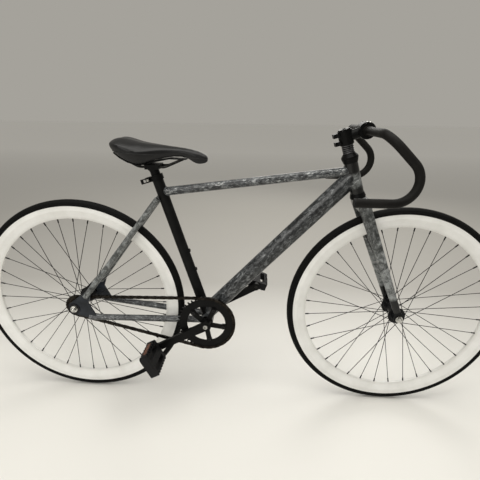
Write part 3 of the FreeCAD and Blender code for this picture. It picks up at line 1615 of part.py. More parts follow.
def stem_bolts():
    bolts = []
    for up, side in face_bolt_places():
        seat = bar_place(face_bolt_seat, up, side)
        face = bar_place(face_bolt_seat + stem_bolt_head_height, up, side)
        bolt = joined([rod(stem_bolt_radius, bar_place(-face_bolt_grip, up, side), seat),
                       rod(stem_bolt_head_radius, seat, face)])
        bolts.append(bolt.cut(hex_socket(face, -steer_forward, stem_bolt_key, stem_bolt_key)))
    for up in stem_lug_places():
        near = -stem_lug_half_width
        face = on_steerer(up, stem_lug_forward(), near - stem_bolt_head_height)
        bolt = joined([
            rod(stem_bolt_radius, on_steerer(up, stem_lug_forward(), near),
                on_steerer(up, stem_lug_forward(), -near)),
            rod(stem_bolt_head_radius, face, on_steerer(up, stem_lug_forward(), near))])
        bolts.append(bolt.cut(hex_socket(face, ALONG_Y, stem_bolt_key, stem_bolt_key)))
    return bolts


def top_cap():
    bottom = stem_top
    cap = ring(cap_radius, stem_bolt_radius + seat_gap, on_steerer(bottom), on_steerer(bottom + cap_height))
    head = bottom + cap_height
    face = on_steerer(head + cap_height / 2)
    bolt = joined([rod(stem_bolt_radius, on_steerer(head - cap_bolt_length), on_steerer(head)),
                   rod(stem_bolt_head_radius, on_steerer(head), face)])
    bolt = bolt.cut(hex_socket(face, -steer_up, stem_bolt_key, stem_bolt_key))
    nut_low = head - cap_bolt_length
    star = ring(steerer_radius - steerer_wall - seat_gap, stem_bolt_radius + seat_gap, on_steerer(nut_low),
                on_steerer(nut_low + cap_height))
    return [cap, bolt, star]


def bar_path():
    """Right half of the bar: across, down the ramp, round the hook and back along the grip."""
    angle = math.radians(bar_ramp_angle)
    ramp = V(math.cos(angle), 0, -math.sin(angle))
    side = -ALONG_Y
    centre = bar_place()
    corner = centre + side * bar_half_width
    shoulder_in = corner - side * bar_shoulder_radius
    shoulder_out = corner + ramp * bar_shoulder_radius
    bulge = corner + (ramp - side).normalize() * (bar_shoulder_radius * (math.sqrt(2) - 1))
    ramp_end = corner + ramp * bar_ramp_length
    inward = V(-math.sin(angle), 0, -math.cos(angle))
    hook_centre = ramp_end + inward * bar_hook_radius
    hook_front = hook_centre + V(bar_hook_radius, 0, 0)
    hook_bottom = hook_centre - V(0, 0, bar_hook_radius)
    grip_end = hook_bottom - V(bar_grip_length, 0, 0)
    return [Part.LineSegment(centre, shoulder_in).toShape(),
            Part.Arc(shoulder_in, bulge, shoulder_out).toShape(),
            Part.LineSegment(shoulder_out, ramp_end).toShape(),
            Part.Arc(ramp_end, hook_front, hook_bottom).toShape(),
            Part.LineSegment(hook_bottom, grip_end).toShape()]


def bar_end():
    return bar_path()[-1].Vertexes[-1].Point


def handlebar():
    path = Part.Wire(bar_path())
    half = swept_rod(path, bar_radius).cut(swept_rod(path, bar_radius - bar_wall))
    sleeve = ring(bar_sleeve_radius, bar_radius - bar_wall, bar_place(side=-bar_sleeve_half),
                  bar_place(side=bar_sleeve_half))
    return joined([half, mirrored(half), sleeve])


def bar_plugs():
    end = bar_end()
    cap = rod(bar_radius, end, end - V(plug_cap_length, 0, 0))
    stopper = rod(bar_radius - bar_wall - seat_gap, end, end + V(plug_depth, 0, 0))
    return pair(joined([cap, stopper]))


os.makedirs("parts", exist_ok=True)

save("head_tube", [head_tube()])
save("top_tube", [top_tube()])
save("down_tube", [down_tube()])
save("seat_tube", [joined([seat_tube()] + bottle_bosses())])
save("bottom_bracket_shell", [bracket_shell()])
save("chain_stays", pair(chain_stay()))
save("seat_stays", pair(seat_stay()))
save("rear_dropouts", pair(rear_dropout()))
save("stay_bridges", stay_bridges())
save("headset_cups", headset_cups())
save("headset_bearings", headset_bearings())
save("bottom_bracket_cups", bracket_cups())
save("bottom_bracket_bearings", bracket_bearings())
save("seat_collar", [seat_collar()])
save("seat_clamp_skewer", [skewer()])
save("seat_clamp_lever", [seat_lever()])
save("rear_axle", at([axle(rear_hub_half, rear_hub_gap, dropout_thickness)], rear_axle_place))
save("rear_axle_nuts", at(axle_nuts(rear_hub_gap, dropout_thickness, rear_washer_radius), rear_axle_place))
save("chain", chain())

save("seat_post", [seat_post()])
save("saddle_clamp", saddle_clamp())
save("saddle_rails", saddle_rails())
save("saddle_base", [saddle_base()])
save("saddle_cover", [saddle_cover()])

save("steerer_tube", [steerer()])
save("fork_crown", [fork_crown()])
save("fork_blades", pair(fork_blade()))
save("fork_ends", pair(front_dropout()))
save("crown_race", [crown_race()])
save("headset_cover", [headset_cover()])
save("headset_spacers", headset_spacers())
save("stem", [stem()])
save("stem_faceplate", [stem_faceplate()])
save("stem_bolts", stem_bolts())
save("steerer_cap", top_cap())
save("handlebar", [handlebar()])
save("bar_end_plugs", bar_plugs())
save("front_axle", at([axle(front_hub_half, front_hub_gap, front_dropout_thickness)], front_axle_place))
save("front_axle_nuts", at(axle_nuts(front_hub_gap, front_dropout_thickness, front_washer_radius),
                           front_axle_place))

wheel_spokes = [spoke(*line) for line in spoke_lines()]
wheel_rim = rim([nipple_drill(start, end) for start, end, side, lead in spoke_lines()])
wheel_tyre = tyre()
wheel_tube = inner_tube()
for name, turn, place in (("front", front_wheel_turn, front_axle_place), ("rear", 0, rear_axle_place)):
    save(name + "_tyre", at([wheel_tyre], place))
    save(name + "_inner_tube", at(wheel_turned([wheel_tube], turn), place))
    save(name + "_rim", at(wheel_turned([wheel_rim], turn), place))
    save(name + "_spokes", at(wheel_turned(wheel_spokes, turn), place))
front_hub = wheel_turned(hub(front_hub_half, front_boss_radius), front_wheel_turn)
save("front_hub", at(front_hub, front_axle_place))
save("rear_hub", at(hub(rear_hub_half, rear_boss_radius), rear_axle_place))
save("rear_sprocket", [rear_sprocket(), sprocket_lockring()])

save("crank_spindle", [bracket_spindle()])
save("crank_right", [crank_right()])
save("crank_left", [crank_left()])
save("crank_bolts", crank_bolts() + chainring_bolts())
save("chainring", [chainring()])
save("pedal_axles", [pedal_axle(-1), pedal_axle(1)])
for name, side, tilt in (("right", -1, right_pedal_tilt), ("left", 1, left_pedal_tilt)):
    save("pedal_" + name, [pedal_body(side, tilt)])
    save("pedal_reflectors_" + name, pedal_reflectors(side, tilt))
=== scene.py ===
# %% [markdown]
# A fixed gear road bicycle with drop bars. The metalwork comes from the CAD frame, already in its
# place, so this lesson is about what the eye reads first: paint, rubber, plated steel and a padded
# saddle. Everything is in metres, +X runs forward, +Z is up, and the chain is on the -Y side.

# %% Load the frame
import math
import bpy
from mathutils import Matrix, Vector


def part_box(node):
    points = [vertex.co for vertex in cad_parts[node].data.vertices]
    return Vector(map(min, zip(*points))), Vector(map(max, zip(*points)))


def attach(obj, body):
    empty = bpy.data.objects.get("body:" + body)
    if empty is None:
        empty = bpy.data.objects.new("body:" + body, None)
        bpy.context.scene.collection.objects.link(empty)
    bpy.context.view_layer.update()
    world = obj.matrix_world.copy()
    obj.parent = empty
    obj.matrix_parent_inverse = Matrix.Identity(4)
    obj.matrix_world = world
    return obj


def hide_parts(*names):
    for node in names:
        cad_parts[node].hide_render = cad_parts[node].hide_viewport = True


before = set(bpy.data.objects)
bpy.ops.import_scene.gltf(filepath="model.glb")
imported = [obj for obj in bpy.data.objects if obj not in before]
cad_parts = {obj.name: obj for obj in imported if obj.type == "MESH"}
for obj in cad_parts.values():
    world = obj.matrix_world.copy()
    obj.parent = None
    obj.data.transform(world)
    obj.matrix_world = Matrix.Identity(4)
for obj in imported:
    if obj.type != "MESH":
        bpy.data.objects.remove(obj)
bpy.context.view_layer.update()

# %% [markdown]
# The camera stands at about waist height, close to the bicycle and a little ahead of its middle, and
# looks down at it. From so near, a wide lens shows the tops of the tubes as well as their sides. Giving
# the camera its three directions is exact, where turning it by angles would need three guesses.

# %% Camera
camera_place = Vector((0.0658, -1.0617, 0.9271))
camera_right = Vector((0.99846883, 0.05408703, 0.01160159))
camera_up = Vector((-0.02870535, 0.32732382, 0.94447611))
camera_back = Vector((0.04728643, -0.94336298, 0.32837522))
camera_data = bpy.data.cameras.new("photo_camera")
camera_data.sensor_fit = "HORIZONTAL"
camera_data.sensor_width = 36.0
camera_data.lens = 27.695
camera = bpy.data.objects.new("photo_camera", camera_data)
turn = Matrix((camera_right, camera_up, camera_back)).transposed()
camera.matrix_world = Matrix.Translation(camera_place) @ turn.to_4x4()
bpy.context.collection.objects.link(camera)
bpy.context.scene.camera = camera
print("camera", tuple(camera_place), "lens", camera_data.lens)

# %% [markdown]
# Colours are written as the sRGB hex values that a colour picker shows. Blender's shaders work in
# linear light, so one function converts them. One more function adds a shader node with its
# settings and its incoming links, which keeps each material readable as a short recipe.

# %% Colour and node helpers
def linear(colour):
    """An sRGB hex colour as linear RGBA."""
    values = [int(colour[i:i + 2], 16) / 255 for i in (1, 3, 5)]
    return tuple(v / 12.92 if v <= 0.04045 else ((v + 0.055) / 1.055) ** 2.4 for v in values) + (1.0,)


def add(tree, kind, settings, links):
    """Adds a node. Settings are its own values, its inputs' values or a ramp's stops."""
    node = tree.nodes.new(kind)
    for name, value in settings.items():
        if name == "stops":
            elements = node.color_ramp.elements
            elements[0].position, elements[1].position = value[0][0], value[-1][0]
            for place, colour in value[1:-1]:
                elements.new(place)
            for element, (place, colour) in zip(elements, value):
                element.color = linear(colour)
        elif isinstance(name, str) and hasattr(node, name):
            setattr(node, name, value)
        else:
            node.inputs[name].default_value = value
    for name, socket in links.items():
        tree.links.new(socket, node.inputs[name])
    return node


def per_metre(millimetres):
    """The texture scale at which a pattern repeats every so many millimetres."""
    return 1000.0 / millimetres


def new_finish(name, **constants):
    """A new material with its node tree, its shader and its object coordinates."""
    material = bpy.data.materials.new(name)
    material.use_nodes = True
    tree = material.node_tree
    shader = tree.nodes["Principled BSDF"]
    for socket, value in constants.items():
        shader.inputs[socket.replace("_", " ")].default_value = value
    place = add(tree, "ShaderNodeTexCoord", {}, {}).outputs["Object"]
    return material, tree, shader, place


def feed(tree, shader, **sockets):
    """Links sockets to the shader's inputs of those names."""
    for name, socket in sockets.items():
        tree.links.new(socket, shader.inputs[name.replace("_", " ")])


def along_axis(tree, place, origin, axis):
    """Distance along an axis from a point, as a shader socket."""
    reach = add(tree, "ShaderNodeVectorMath", {"operation": "SUBTRACT", 1: tuple(origin)}, {0: place})
    return add(tree, "ShaderNodeVectorMath", {"operation": "DOT_PRODUCT", 1: tuple(axis)},
               {0: reach.outputs[0]}).outputs["Value"]


def off_axle(tree, place, axle):
    """Distance from the line of an axle that runs along Y, as a shader socket."""
    arm = add(tree, "ShaderNodeVectorMath", {"operation": "SUBTRACT", 1: axle}, {0: place})
    flat = add(tree, "ShaderNodeVectorMath", {"operation": "MULTIPLY", 1: (1, 0, 1)},
               {0: arm.outputs[0]})
    return add(tree, "ShaderNodeVectorMath", {"operation": "LENGTH"},
               {0: flat.outputs[0]}).outputs["Value"]


print("per metre for a 4 mm pattern:", per_metre(4))

# %% [markdown]
# A few small steps come back again and again: picking a piece alone, covering it with one material,
# dressing the CAD's own nodes, and cleaning a mesh. Where the axles and the steering axis lie is
# written once here too, so that the finishes and the modelled pieces agree about it.

# %% Piece helpers and places
merge_gap = 0.00002
front_axle = (0.502, 0, 0.336)
rear_axle = (-0.502, 0, 0.336)
crank_axle = (-0.08943138, 0, 0.289)
steer_foot = Vector((0.46862, 0, 0.325475))
steer_up = Vector((-0.300706, 0, 0.953717))
steer_forward = Vector((0.953717, 0, 0.300706))


def pick(piece):
    """Makes a piece the only selected one, and the active one."""
    bpy.ops.object.select_all(action="DESELECT")
    piece.select_set(True)
    bpy.context.view_layer.objects.active = piece


def cover(piece, material):
    """Gives a modelled piece one material."""
    piece.data.materials.clear()
    piece.data.materials.append(material)


def dress(material, *nodes):
    """Puts a material on CAD nodes."""
    for node in nodes:
        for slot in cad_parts[node].material_slots:
            slot.material = material
    print(material.name, "on", len(nodes), "nodes")


def merge_and_face_outwards():
    """In edit mode: merges doubled points and turns every face outwards."""
    bpy.ops.mesh.select_all(action="SELECT")
    bpy.ops.mesh.remove_doubles(threshold=merge_gap)
    bpy.ops.mesh.normals_make_consistent(inside=False)


print("wheelbase", front_axle[0] - rear_axle[0])

# %% [markdown]
# The stage is a plain pale floor with the faint shine of glazed tile. It is nearly white in front and
# greys off behind the bicycle, so it runs into the grey of the world without a hard line and the white
# rims still read against it. A wall would hide the bicycle from behind, so there is none.

# %% Floor and world
backdrop_grey = "#a5a29b"
floor_size = 60.0
floor_drop = 0.0005
bpy.ops.object.select_all(action="DESELECT")
bpy.ops.mesh.primitive_plane_add(size=floor_size, location=(0, 0, -floor_drop))
floor = bpy.context.object
floor.name = "studio_floor"
tile, tree, shader, place = new_finish("pale_floor_tile", Roughness=0.38)
axes = add(tree, "ShaderNodeSeparateXYZ", {}, {0: place})
# The tile greys off from 0.16 m to 0.88 m behind the bicycle's middle. It lightens again from 2.4 m to
# 8 m, where the lamps no longer reach it.
floor_tones = ((0.02, "#d8d6d0"), (0.11, "#a8a59f"), (0.3, "#aaa7a0"), (1.0, "#d6d3cc"))
depth = add(tree, "ShaderNodeMapRange", {"From Min": 0.0, "From Max": 8.0}, {"Value": axes.outputs["Y"]})
# Broad soft clouds, about 0.7 m across, so the floor isn't one dead value.
cloud = add(tree, "ShaderNodeTexNoise", {"Scale": per_metre(700), "Detail": 2.0}, {"Vector": place})
mottle = add(tree, "ShaderNodeMath", {"operation": "MULTIPLY_ADD", 1: 0.008},
             {0: cloud.outputs["Fac"], 2: depth.outputs[0]})
tone = add(tree, "ShaderNodeValToRGB", {"stops": floor_tones}, {"Fac": mottle.outputs[0]})
feed(tree, shader, Base_Color=tone.outputs["Color"])
cover(floor, tile)

world = bpy.data.worlds.new("studio_world")
world.use_nodes = True
bpy.context.scene.world = world
tree = world.node_tree
path = add(tree, "ShaderNodeLightPath", {}, {})
seen = add(tree, "ShaderNodeMath", {"operation": "MAXIMUM"},
           {0: path.outputs["Is Camera Ray"], 1: path.outputs["Is Glossy Ray"]})
seen = add(tree, "ShaderNodeMath", {"operation": "MAXIMUM"},
           {0: seen.outputs[0], 1: path.outputs["Is Transmission Ray"]})
lit = add(tree, "ShaderNodeBackground", {"Color": linear("#f2f1ee"), "Strength": 0.62}, {})
shown = add(tree, "ShaderNodeBackground", {"Color": linear(backdrop_grey), "Strength": 1.0}, {})
mixed = add(tree, "ShaderNodeMixShader", {},
            {0: seen.outputs[0], 1: lit.outputs[0], 2: shown.outputs[0]})
tree.links.new(mixed.outputs[0], tree.nodes["World Output"].inputs["Surface"])
bpy.context.scene.view_settings.view_transform = "Standard"
print("stage ready, backdrop", backdrop_grey)

# %% [markdown]
# Shops and studios light a bicycle with large overhead panels, which put one long soft highlight on
# the top of every tube. A broad panel overhead gives that, a weak panel beside the camera opens the
# shadows, and a panel behind draws the far edges.

# %% Lights
lamp_white = "#fffdf8"
# Name, place, the point it aims at, its two sides in metres, and its watts.
lamp_rows = (
    ("overhead_panel", (0.1, -0.35, 2.7), (0, 0, 0.4), (3.4, 1.8), 60.0),
    ("front_panel", (-1.2, -3.0, 1.7), (0, 0, 0.45), (2.2, 1.6), 34.0),
    ("rear_panel", (0.8, 2.8, 2.0), (0, 0, 0.5), (2.4, 1.2), 26.0),
)
for name, place, aim, size, power in lamp_rows:
    lamp = bpy.data.lights.new(name, "AREA")
    lamp.shape = "RECTANGLE"
    lamp.size, lamp.size_y = size
    lamp.energy = power
    lamp.color = linear(lamp_white)[:3]
    holder = bpy.data.objects.new(name, lamp)
    holder.location = place
    holder.rotation_euler = (Vector(aim) - Vector(place)).to_track_quat("-Z", "Y").to_euler()
    bpy.context.collection.objects.link(holder)
print("lights", len(lamp_rows))

# %% [markdown]
# The frame paint is a marbled grey under a clear lacquer: charcoal, with paler smears dragged along
# each tube. One noise gives the clouds and a second, stretched and turned, gives the dragged streaks.
# The head tube and the fork blades turn plain black at their ends, measured along the steering axis.

# %% Marbled frame paint
cloud_steps = (0.36, 0.46, 0.55, 0.66)
streak_stretch = 2.8
crown_up = 0.34
fork_end_up = 0.06
# Half of the 10 mm over which the black of a band fades in.
band_blur = 0.005
band_black = "#080808"


def marbled_paint(name, greys, smear_grey, lean, width, silver, black_bands=(), fade=0.0):
    """Marbled lacquer. The streaks lean by so many degrees from the vertical, are so many mm wide and
    hold a share of silver flake. Black bands are (from, to) up the steering axis, and the paint
    pales by the fade from the crown to the fork ends."""
    material, tree, shader, place = new_finish(name, Coat_Weight=0.4, Coat_Roughness=0.12,
                                               Specular_IOR_Level=0.2)
    # Clouds 22 mm across carry the greys.
    clouds = add(tree, "ShaderNodeTexNoise", {"Scale": per_metre(22), "Detail": 6.0, "Roughness": 0.66,
                                              "Distortion": 1.3}, {"Vector": place})
    up = along_axis(tree, place, steer_foot, steer_up)
    paling = add(tree, "ShaderNodeMapRange", {"From Min": crown_up, "From Max": fork_end_up,
                                              "To Min": -fade, "To Max": fade}, {"Value": up})
    cloudy = add(tree, "ShaderNodeMath", {"operation": "ADD"},
                 {0: clouds.outputs["Fac"], 1: paling.outputs[0]})
    paint = add(tree, "ShaderNodeValToRGB", {"stops": tuple(zip(cloud_steps, greys))},
                {"Fac": cloudy.outputs[0]}).outputs["Color"]
    # The streaks are dragged along the tube, and gather where the paint is pale.
    slant = add(tree, "ShaderNodeMapping", {"vector_type": "TEXTURE",
                                            "Rotation": (0, math.radians(lean), 0),
                                            "Scale": (1.0, 1.0, streak_stretch)}, {"Vector": place})
    streaks = add(tree, "ShaderNodeTexNoise", {"Scale": per_metre(width), "Detail": 5.0,
                                               "Roughness": 0.72, "Distortion": 1.4},
                  {"Vector": slant.outputs[0]})
    smear = add(tree, "ShaderNodeMapRange", {"From Min": 0.5, "From Max": 0.68, "To Max": 0.8},
                {"Value": streaks.outputs["Fac"]})
    patch = add(tree, "ShaderNodeMapRange", {"From Min": 0.36, "From Max": 0.56, "To Min": 0.25},
                {"Value": cloudy.outputs[0]})
    smear = add(tree, "ShaderNodeMath", {"operation": "MULTIPLY"},
                {0: smear.outputs[0], 1: patch.outputs[0]})
    flake = add(tree, "ShaderNodeMath", {"operation": "MULTIPLY", 1: silver}, {0: smear.outputs[0]})
    paint = add(tree, "ShaderNodeMix", {"data_type": "RGBA", 7: linear(smear_grey)},
                {0: smear.outputs[0], 6: paint}).outputs[2]
    for start, end in black_bands:
        over = add(tree, "ShaderNodeMapRange", {"From Min": start - band_blur,
                                                "From Max": start + band_blur}, {"Value": up})
        under = add(tree, "ShaderNodeMapRange", {"From Min": end + band_blur,
                                                 "From Max": end - band_blur}, {"Value": up})
        band = add(tree, "ShaderNodeMath", {"operation": "MULTIPLY"},
                   {0: over.outputs[0], 1: under.outputs[0]})
        paint = add(tree, "ShaderNodeMix", {"data_type": "RGBA", 7: linear(band_black)},
                    {0: band.outputs[0], 6: paint}).outputs[2]
    rough = add(tree, "ShaderNodeMapRange", {"To Min": 0.24, "To Max": 0.44},
                {"Value": clouds.outputs["Fac"]})
    bump = add(tree, "ShaderNodeBump", {"Strength": 0.25, "Distance": 0.0003},
               {"Height": streaks.outputs["Fac"]})
    feed(tree, shader, Base_Color=paint, Metallic=flake.outputs[0], Roughness=rough.outputs[0],
         Normal=bump.outputs[0])
    return material


dark_greys = ("#101112", "#1e2021", "#2d2f30", "#464849")
charcoal_greys = ("#161719", "#282a2c", "#3a3c3e", "#555758")
# These pale greys are the same marbled paint painted lighter, as painted light on the fork blades and
# the seat stays. The head tube's grey band uses them too.
pale_greys_with_painted_light = ("#2c2e2d", "#474948", "#616362", "#868988")
# Down tube: the darkest grey, with broad smears dragged down its length.
dress(marbled_paint("marbled_lacquer_down_tube", dark_greys, "#8d8f90", 42, 11, 0.3),
      "down_tube", "bottom_bracket_shell")
# Top tube: narrow silvery smears that catch the light from above.
top_paint = marbled_paint("marbled_lacquer_top_tube", charcoal_greys, "#c4c6c5", 82, 6, 0.9)
dress(top_paint, "top_tube")
# Seat stays: painted paler than the other rear tubes, as painted light on them.
dress(marbled_paint("marbled_lacquer_seat_stays", pale_greys_with_painted_light, "#989a9a", 36, 8, 0.4), "seat_stays")
# Chain stays: charcoal, with smears that lie along them.
stay_paint = marbled_paint("marbled_lacquer_chain_stays", charcoal_greys, "#989a9a", 93, 8, 0.4)
dress(stay_paint, "chain_stays", "stay_bridges")
# Head tube: black at both ends, with a band of marbled grey between them.
head_paint = marbled_paint("marbled_lacquer_head_tube", pale_greys_with_painted_light, "#8d8f8e", 42, 9, 0.4,
                           ((0.462, 0.6), (0.3, 0.424)))
dress(head_paint, "head_tube")
# Fork: painted pale grey as painted light on it, paling further down the blades, then black at their
# ends.
dress(marbled_paint("marbled_lacquer_fork", pale_greys_with_painted_light, "#989a9a", -17, 9, 0.3, ((-0.1, 0.07),), 0.1),
      "fork_blades", "fork_crown")

# %% [markdown]
# The seat tube is sprayed a plain black and the track ends a blue-black. A paint film is never
# perfectly even: it has orange peel, a ripple about 2 mm across that breaks up its reflections, and
# dust that dulls it. The same recipe serves several black pieces, with the shine of each set on the
# shader.

# %% Black paints and anodised alloy
def sprayed_black(name, dark, pale, roughness, peel, gloss):
    """Black finish with faint tonal clouds (25 mm) and a ripple of orange peel (2 mm)."""
    material, tree, shader, place = new_finish(name, Specular_IOR_Level=gloss)
    clouds = add(tree, "ShaderNodeTexNoise", {"Scale": per_metre(25), "Detail": 4.0}, {"Vector": place})
    tone = add(tree, "ShaderNodeValToRGB", {"stops": ((0.3, dark), (0.75, pale))},
               {"Fac": clouds.outputs["Fac"]})
    rough = add(tree, "ShaderNodeMapRange", {"To Min": roughness - 0.08, "To Max": roughness + 0.1},
                {"Value": clouds.outputs["Fac"]})
    ripple = add(tree, "ShaderNodeTexNoise", {"Scale": per_metre(2), "Detail": 1.0}, {"Vector": place})
    bump = add(tree, "ShaderNodeBump", {"Strength": peel, "Distance": 0.0002},
               {"Height": ripple.outputs["Fac"]})
    feed(tree, shader, Base_Color=tone.outputs["Color"], Roughness=rough.outputs[0],
         Normal=bump.outputs[0])
    return material


# Satin enamel: soft wide highlights.
satin_enamel = sprayed_black("satin_black_enamel", "#0a0a0a", "#121211", 0.36, 0.2, 0.1)
dress(satin_enamel, "seat_tube")
# Blue-black enamel on the track ends: a cold tint beside the warmer blacks.
dress(sprayed_black("blue_black_enamel", "#1a1d21", "#2a2e34", 0.36, 0.2, 0.2), "rear_dropouts")
# Anodised alloy: an even dyed oxide skin over fine blasting, so it stays dull and dark.
anodised = sprayed_black("black_anodised_alloy", "#060606", "#0d0d0d", 0.36, 0.25, 0.09)
dress(anodised, "headset_cups", "headset_cover", "stem", "stem_faceplate", "steerer_cap", "seat_collar",
      "seat_clamp_lever", "seat_post", "saddle_clamp")
# Satin paint on the bare bar, rubbed by hands: a soft broad highlight on its upper side.
dress(sprayed_black("satin_black_bar_paint", "#121110", "#1b1a18", 0.5, 0.1, 0.09), "handlebar")
# Paint on the forged fork ends: a shade paler than the bar, so their edges still show.
dress(sprayed_black("black_fork_end_paint", "#0d0d0e", "#161718", 0.36, 0.2, 0.15), "fork_ends")
# Paint baked on drawn steel spokes: smooth, so each is one thin dark line.
dress(sprayed_black("black_spoke_paint", "#0e0e0e", "#181819", 0.35, 0.05, 0.15),
      "front_spokes", "rear_spokes")
# Turned hub alloy under a dyed oxide skin: a tighter highlight round the shell.
dress(sprayed_black("black_hub_alloy", "#0f0f10", "#1c1d1f", 0.3, 0.15, 0.2), "front_hub", "rear_hub")
# Forged crank alloy, blasted and dyed: nearly no shine, so the cranks read as one dark shape.
dress(sprayed_black("black_crank_alloy", "#070707", "#0e0e0e", 0.36, 0.2, 0.1),
      "crank_right", "crank_left")

# %% [markdown]
# The deep rims are white enamel over extruded alloy. White paint shows handling more than black
# does: a faint grey bloom, and road dust that settles towards the spokes.

# %% White rim enamel
rim_inner_radius = 0.277
rim_dust_reach = 0.009


def white_enamel(name, axle):
    """White enamel with a bloom in clouds 60 mm across, and dust up to the rim's inner edge."""
    material, tree, shader, place = new_finish(name, Coat_Weight=0.35, Coat_Roughness=0.1)
    bloom = add(tree, "ShaderNodeTexNoise", {"Scale": per_metre(60), "Detail": 5.0, "Roughness": 0.6},
                {"Vector": place})
    tone = add(tree, "ShaderNodeValToRGB", {"stops": ((0.3, "#d6d5d0"), (0.6, "#e2e1dd"))},
               {"Fac": bloom.outputs["Fac"]})
    dust = add(tree, "ShaderNodeMapRange", {"From Min": rim_inner_radius + rim_dust_reach,
                                            "From Max": rim_inner_radius, "To Max": 0.35},
               {"Value": off_axle(tree, place, axle)})
    paint = add(tree, "ShaderNodeMix", {"data_type": "RGBA", 7: linear("#aaa79e")},
                {0: dust.outputs[0], 6: tone.outputs["Color"]})
    rough = add(tree, "ShaderNodeMapRange", {"To Min": 0.25, "To Max": 0.45},
                {"Value": bloom.outputs["Fac"]})
    feed(tree, shader, Base_Color=paint.outputs[2], Roughness=rough.outputs[0])
    return material


dress(white_enamel("white_rim_enamel_front", front_axle), "front_rim")
dress(white_enamel("white_rim_enamel_rear", rear_axle), "rear_rim")

# %% [markdown]
# Tyre rubber is carbon black that never shines much. The tread has a file pattern of slanted grooves
# so fine that it is felt more than seen, and the sidewall has moulded rings. Both follow the wheel,
# so the pattern is drawn from the angle and the radius about the axle.

# %% Tyre rubber
# 352 slanted grooves round the tread are 6 mm apart, drawn coarser than real so that they show.
groove_count = 352.0
# How far a groove slants, in radians of its wave for each metre from the tyre's middle.
groove_slant = 1100.0
flank_ring_step = 2.4
flank_end_radius = 0.3285
tread_start_radius = 0.331


def tyre_rubber(name, axle):
    """Rubber with rings on the flank, grooves on the tread, and dust in clouds 18 mm across."""
    material, tree, shader, place = new_finish(name, Specular_IOR_Level=0.1)
    arm = add(tree, "ShaderNodeVectorMath", {"operation": "SUBTRACT", 1: axle}, {0: place})
    axes = add(tree, "ShaderNodeSeparateXYZ", {}, {0: arm.outputs[0]})
    radius = off_axle(tree, place, axle)
    angle = add(tree, "ShaderNodeMath", {"operation": "ARCTAN2"},
                {0: axes.outputs["Z"], 1: axes.outputs["X"]})
    side = add(tree, "ShaderNodeMath", {"operation": "ABSOLUTE"}, {0: axes.outputs["Y"]})
    lean = add(tree, "ShaderNodeMath", {"operation": "MULTIPLY", 1: groove_slant}, {0: side.outputs[0]})
    phase = add(tree, "ShaderNodeMath", {"operation": "MULTIPLY_ADD", 1: groove_count},
                {0: angle.outputs[0], 2: lean.outputs[0]})
    groove = add(tree, "ShaderNodeMath", {"operation": "SINE"}, {0: phase.outputs[0]})
    turns = add(tree, "ShaderNodeMath", {"operation": "MULTIPLY",
                                         1: 2 * math.pi * per_metre(flank_ring_step)}, {0: radius})
    rings = add(tree, "ShaderNodeMath", {"operation": "SINE"}, {0: turns.outputs[0]})
    tread = add(tree, "ShaderNodeMapRange", {"From Min": flank_end_radius,
                                             "From Max": tread_start_radius}, {"Value": radius})
    height = add(tree, "ShaderNodeMix", {"data_type": "FLOAT"},
                 {0: tread.outputs[0], 2: rings.outputs[0], 3: groove.outputs[0]})
    bump = add(tree, "ShaderNodeBump", {"Strength": 0.45, "Distance": 0.0005},
               {"Height": height.outputs[0]})
    dust = add(tree, "ShaderNodeTexNoise", {"Scale": per_metre(18), "Detail": 6.0, "Roughness": 0.7},
               {"Vector": place})
    tone = add(tree, "ShaderNodeValToRGB", {"stops": ((0.35, "#070707"), (0.7, "#10100f"))},
               {"Fac": dust.outputs["Fac"]})
    rough = add(tree, "ShaderNodeMapRange", {"To Min": 0.5, "To Max": 0.75},
                {"Value": dust.outputs["Fac"]})
    feed(tree, shader, Base_Color=tone.outputs["Color"], Roughness=rough.outputs[0],
         Normal=bump.outputs[0])
    return material


front_rubber = tyre_rubber("tyre_rubber_front", front_axle)
rear_rubber = tyre_rubber("tyre_rubber_rear", rear_axle)
dress(front_rubber, "front_tyre")
dress(rear_rubber, "rear_tyre")
# Butyl rubber of the inner tubes: matt, and seen only where the valves leave the rims.
dress(sprayed_black("butyl_tube_rubber", "#111111", "#1c1c1c", 0.6, 0.1, 0.15),
      "front_inner_tube", "rear_inner_tube")

# %% [markdown]
# Nuts and bolts are zinc plated steel, bright with fine scratches from a spanner. The chain and
# sprocket are bare steel under old oil, which is brown-black in the hollows and worn bright on top.
# Metal keeps its colour in its reflections, so its base colour is its shine. Some of these nodes hold
# both bright nuts and blackened washers, so the recipe can turn black past a measured distance.

# %% Steels
blackened_tone = "#2a2a2b"
# Scratches are stretched to about 11 mm along Z.
scratch_squash = 0.07


def worked_steel(name, dark, pale, roughness, scratch, measure=None, black_past=0.0):
    """Metal with wear clouds (9 mm) and scratches (0.8 mm wide) in its roughness. If a measure is
    given, the metal is blackened where it is past the distance."""
    material, tree, shader, place = new_finish(name, Metallic=1.0)
    wear = add(tree, "ShaderNodeTexNoise", {"Scale": per_metre(9), "Detail": 5.0, "Roughness": 0.65},
               {"Vector": place})
    tone = add(tree, "ShaderNodeValToRGB", {"stops": ((0.35, dark), (0.68, pale))},
               {"Fac": wear.outputs["Fac"]}).outputs["Color"]
    lines = add(tree, "ShaderNodeMapping", {"Scale": (1.0, 1.0, scratch_squash)}, {"Vector": place})
    scratches = add(tree, "ShaderNodeTexNoise", {"Scale": per_metre(0.8), "Detail": 2.0},
                    {"Vector": lines.outputs[0]})
    rough = add(tree, "ShaderNodeMapRange", {"From Min": 0.3, "From Max": 0.7,
                                             "To Min": roughness - scratch,
                                             "To Max": roughness + scratch},
                {"Value": scratches.outputs["Fac"]})
    if measure:
        mask = add(tree, "ShaderNodeMath", {"operation": "GREATER_THAN", 1: black_past},
                   {0: measure(tree, place)})
        tone = add(tree, "ShaderNodeMix", {"data_type": "RGBA", 7: linear(blackened_tone)},
                   {0: mask.outputs[0], 6: tone}).outputs[2]
    feed(tree, shader, Base_Color=tone, Roughness=rough.outputs[0])
    return material


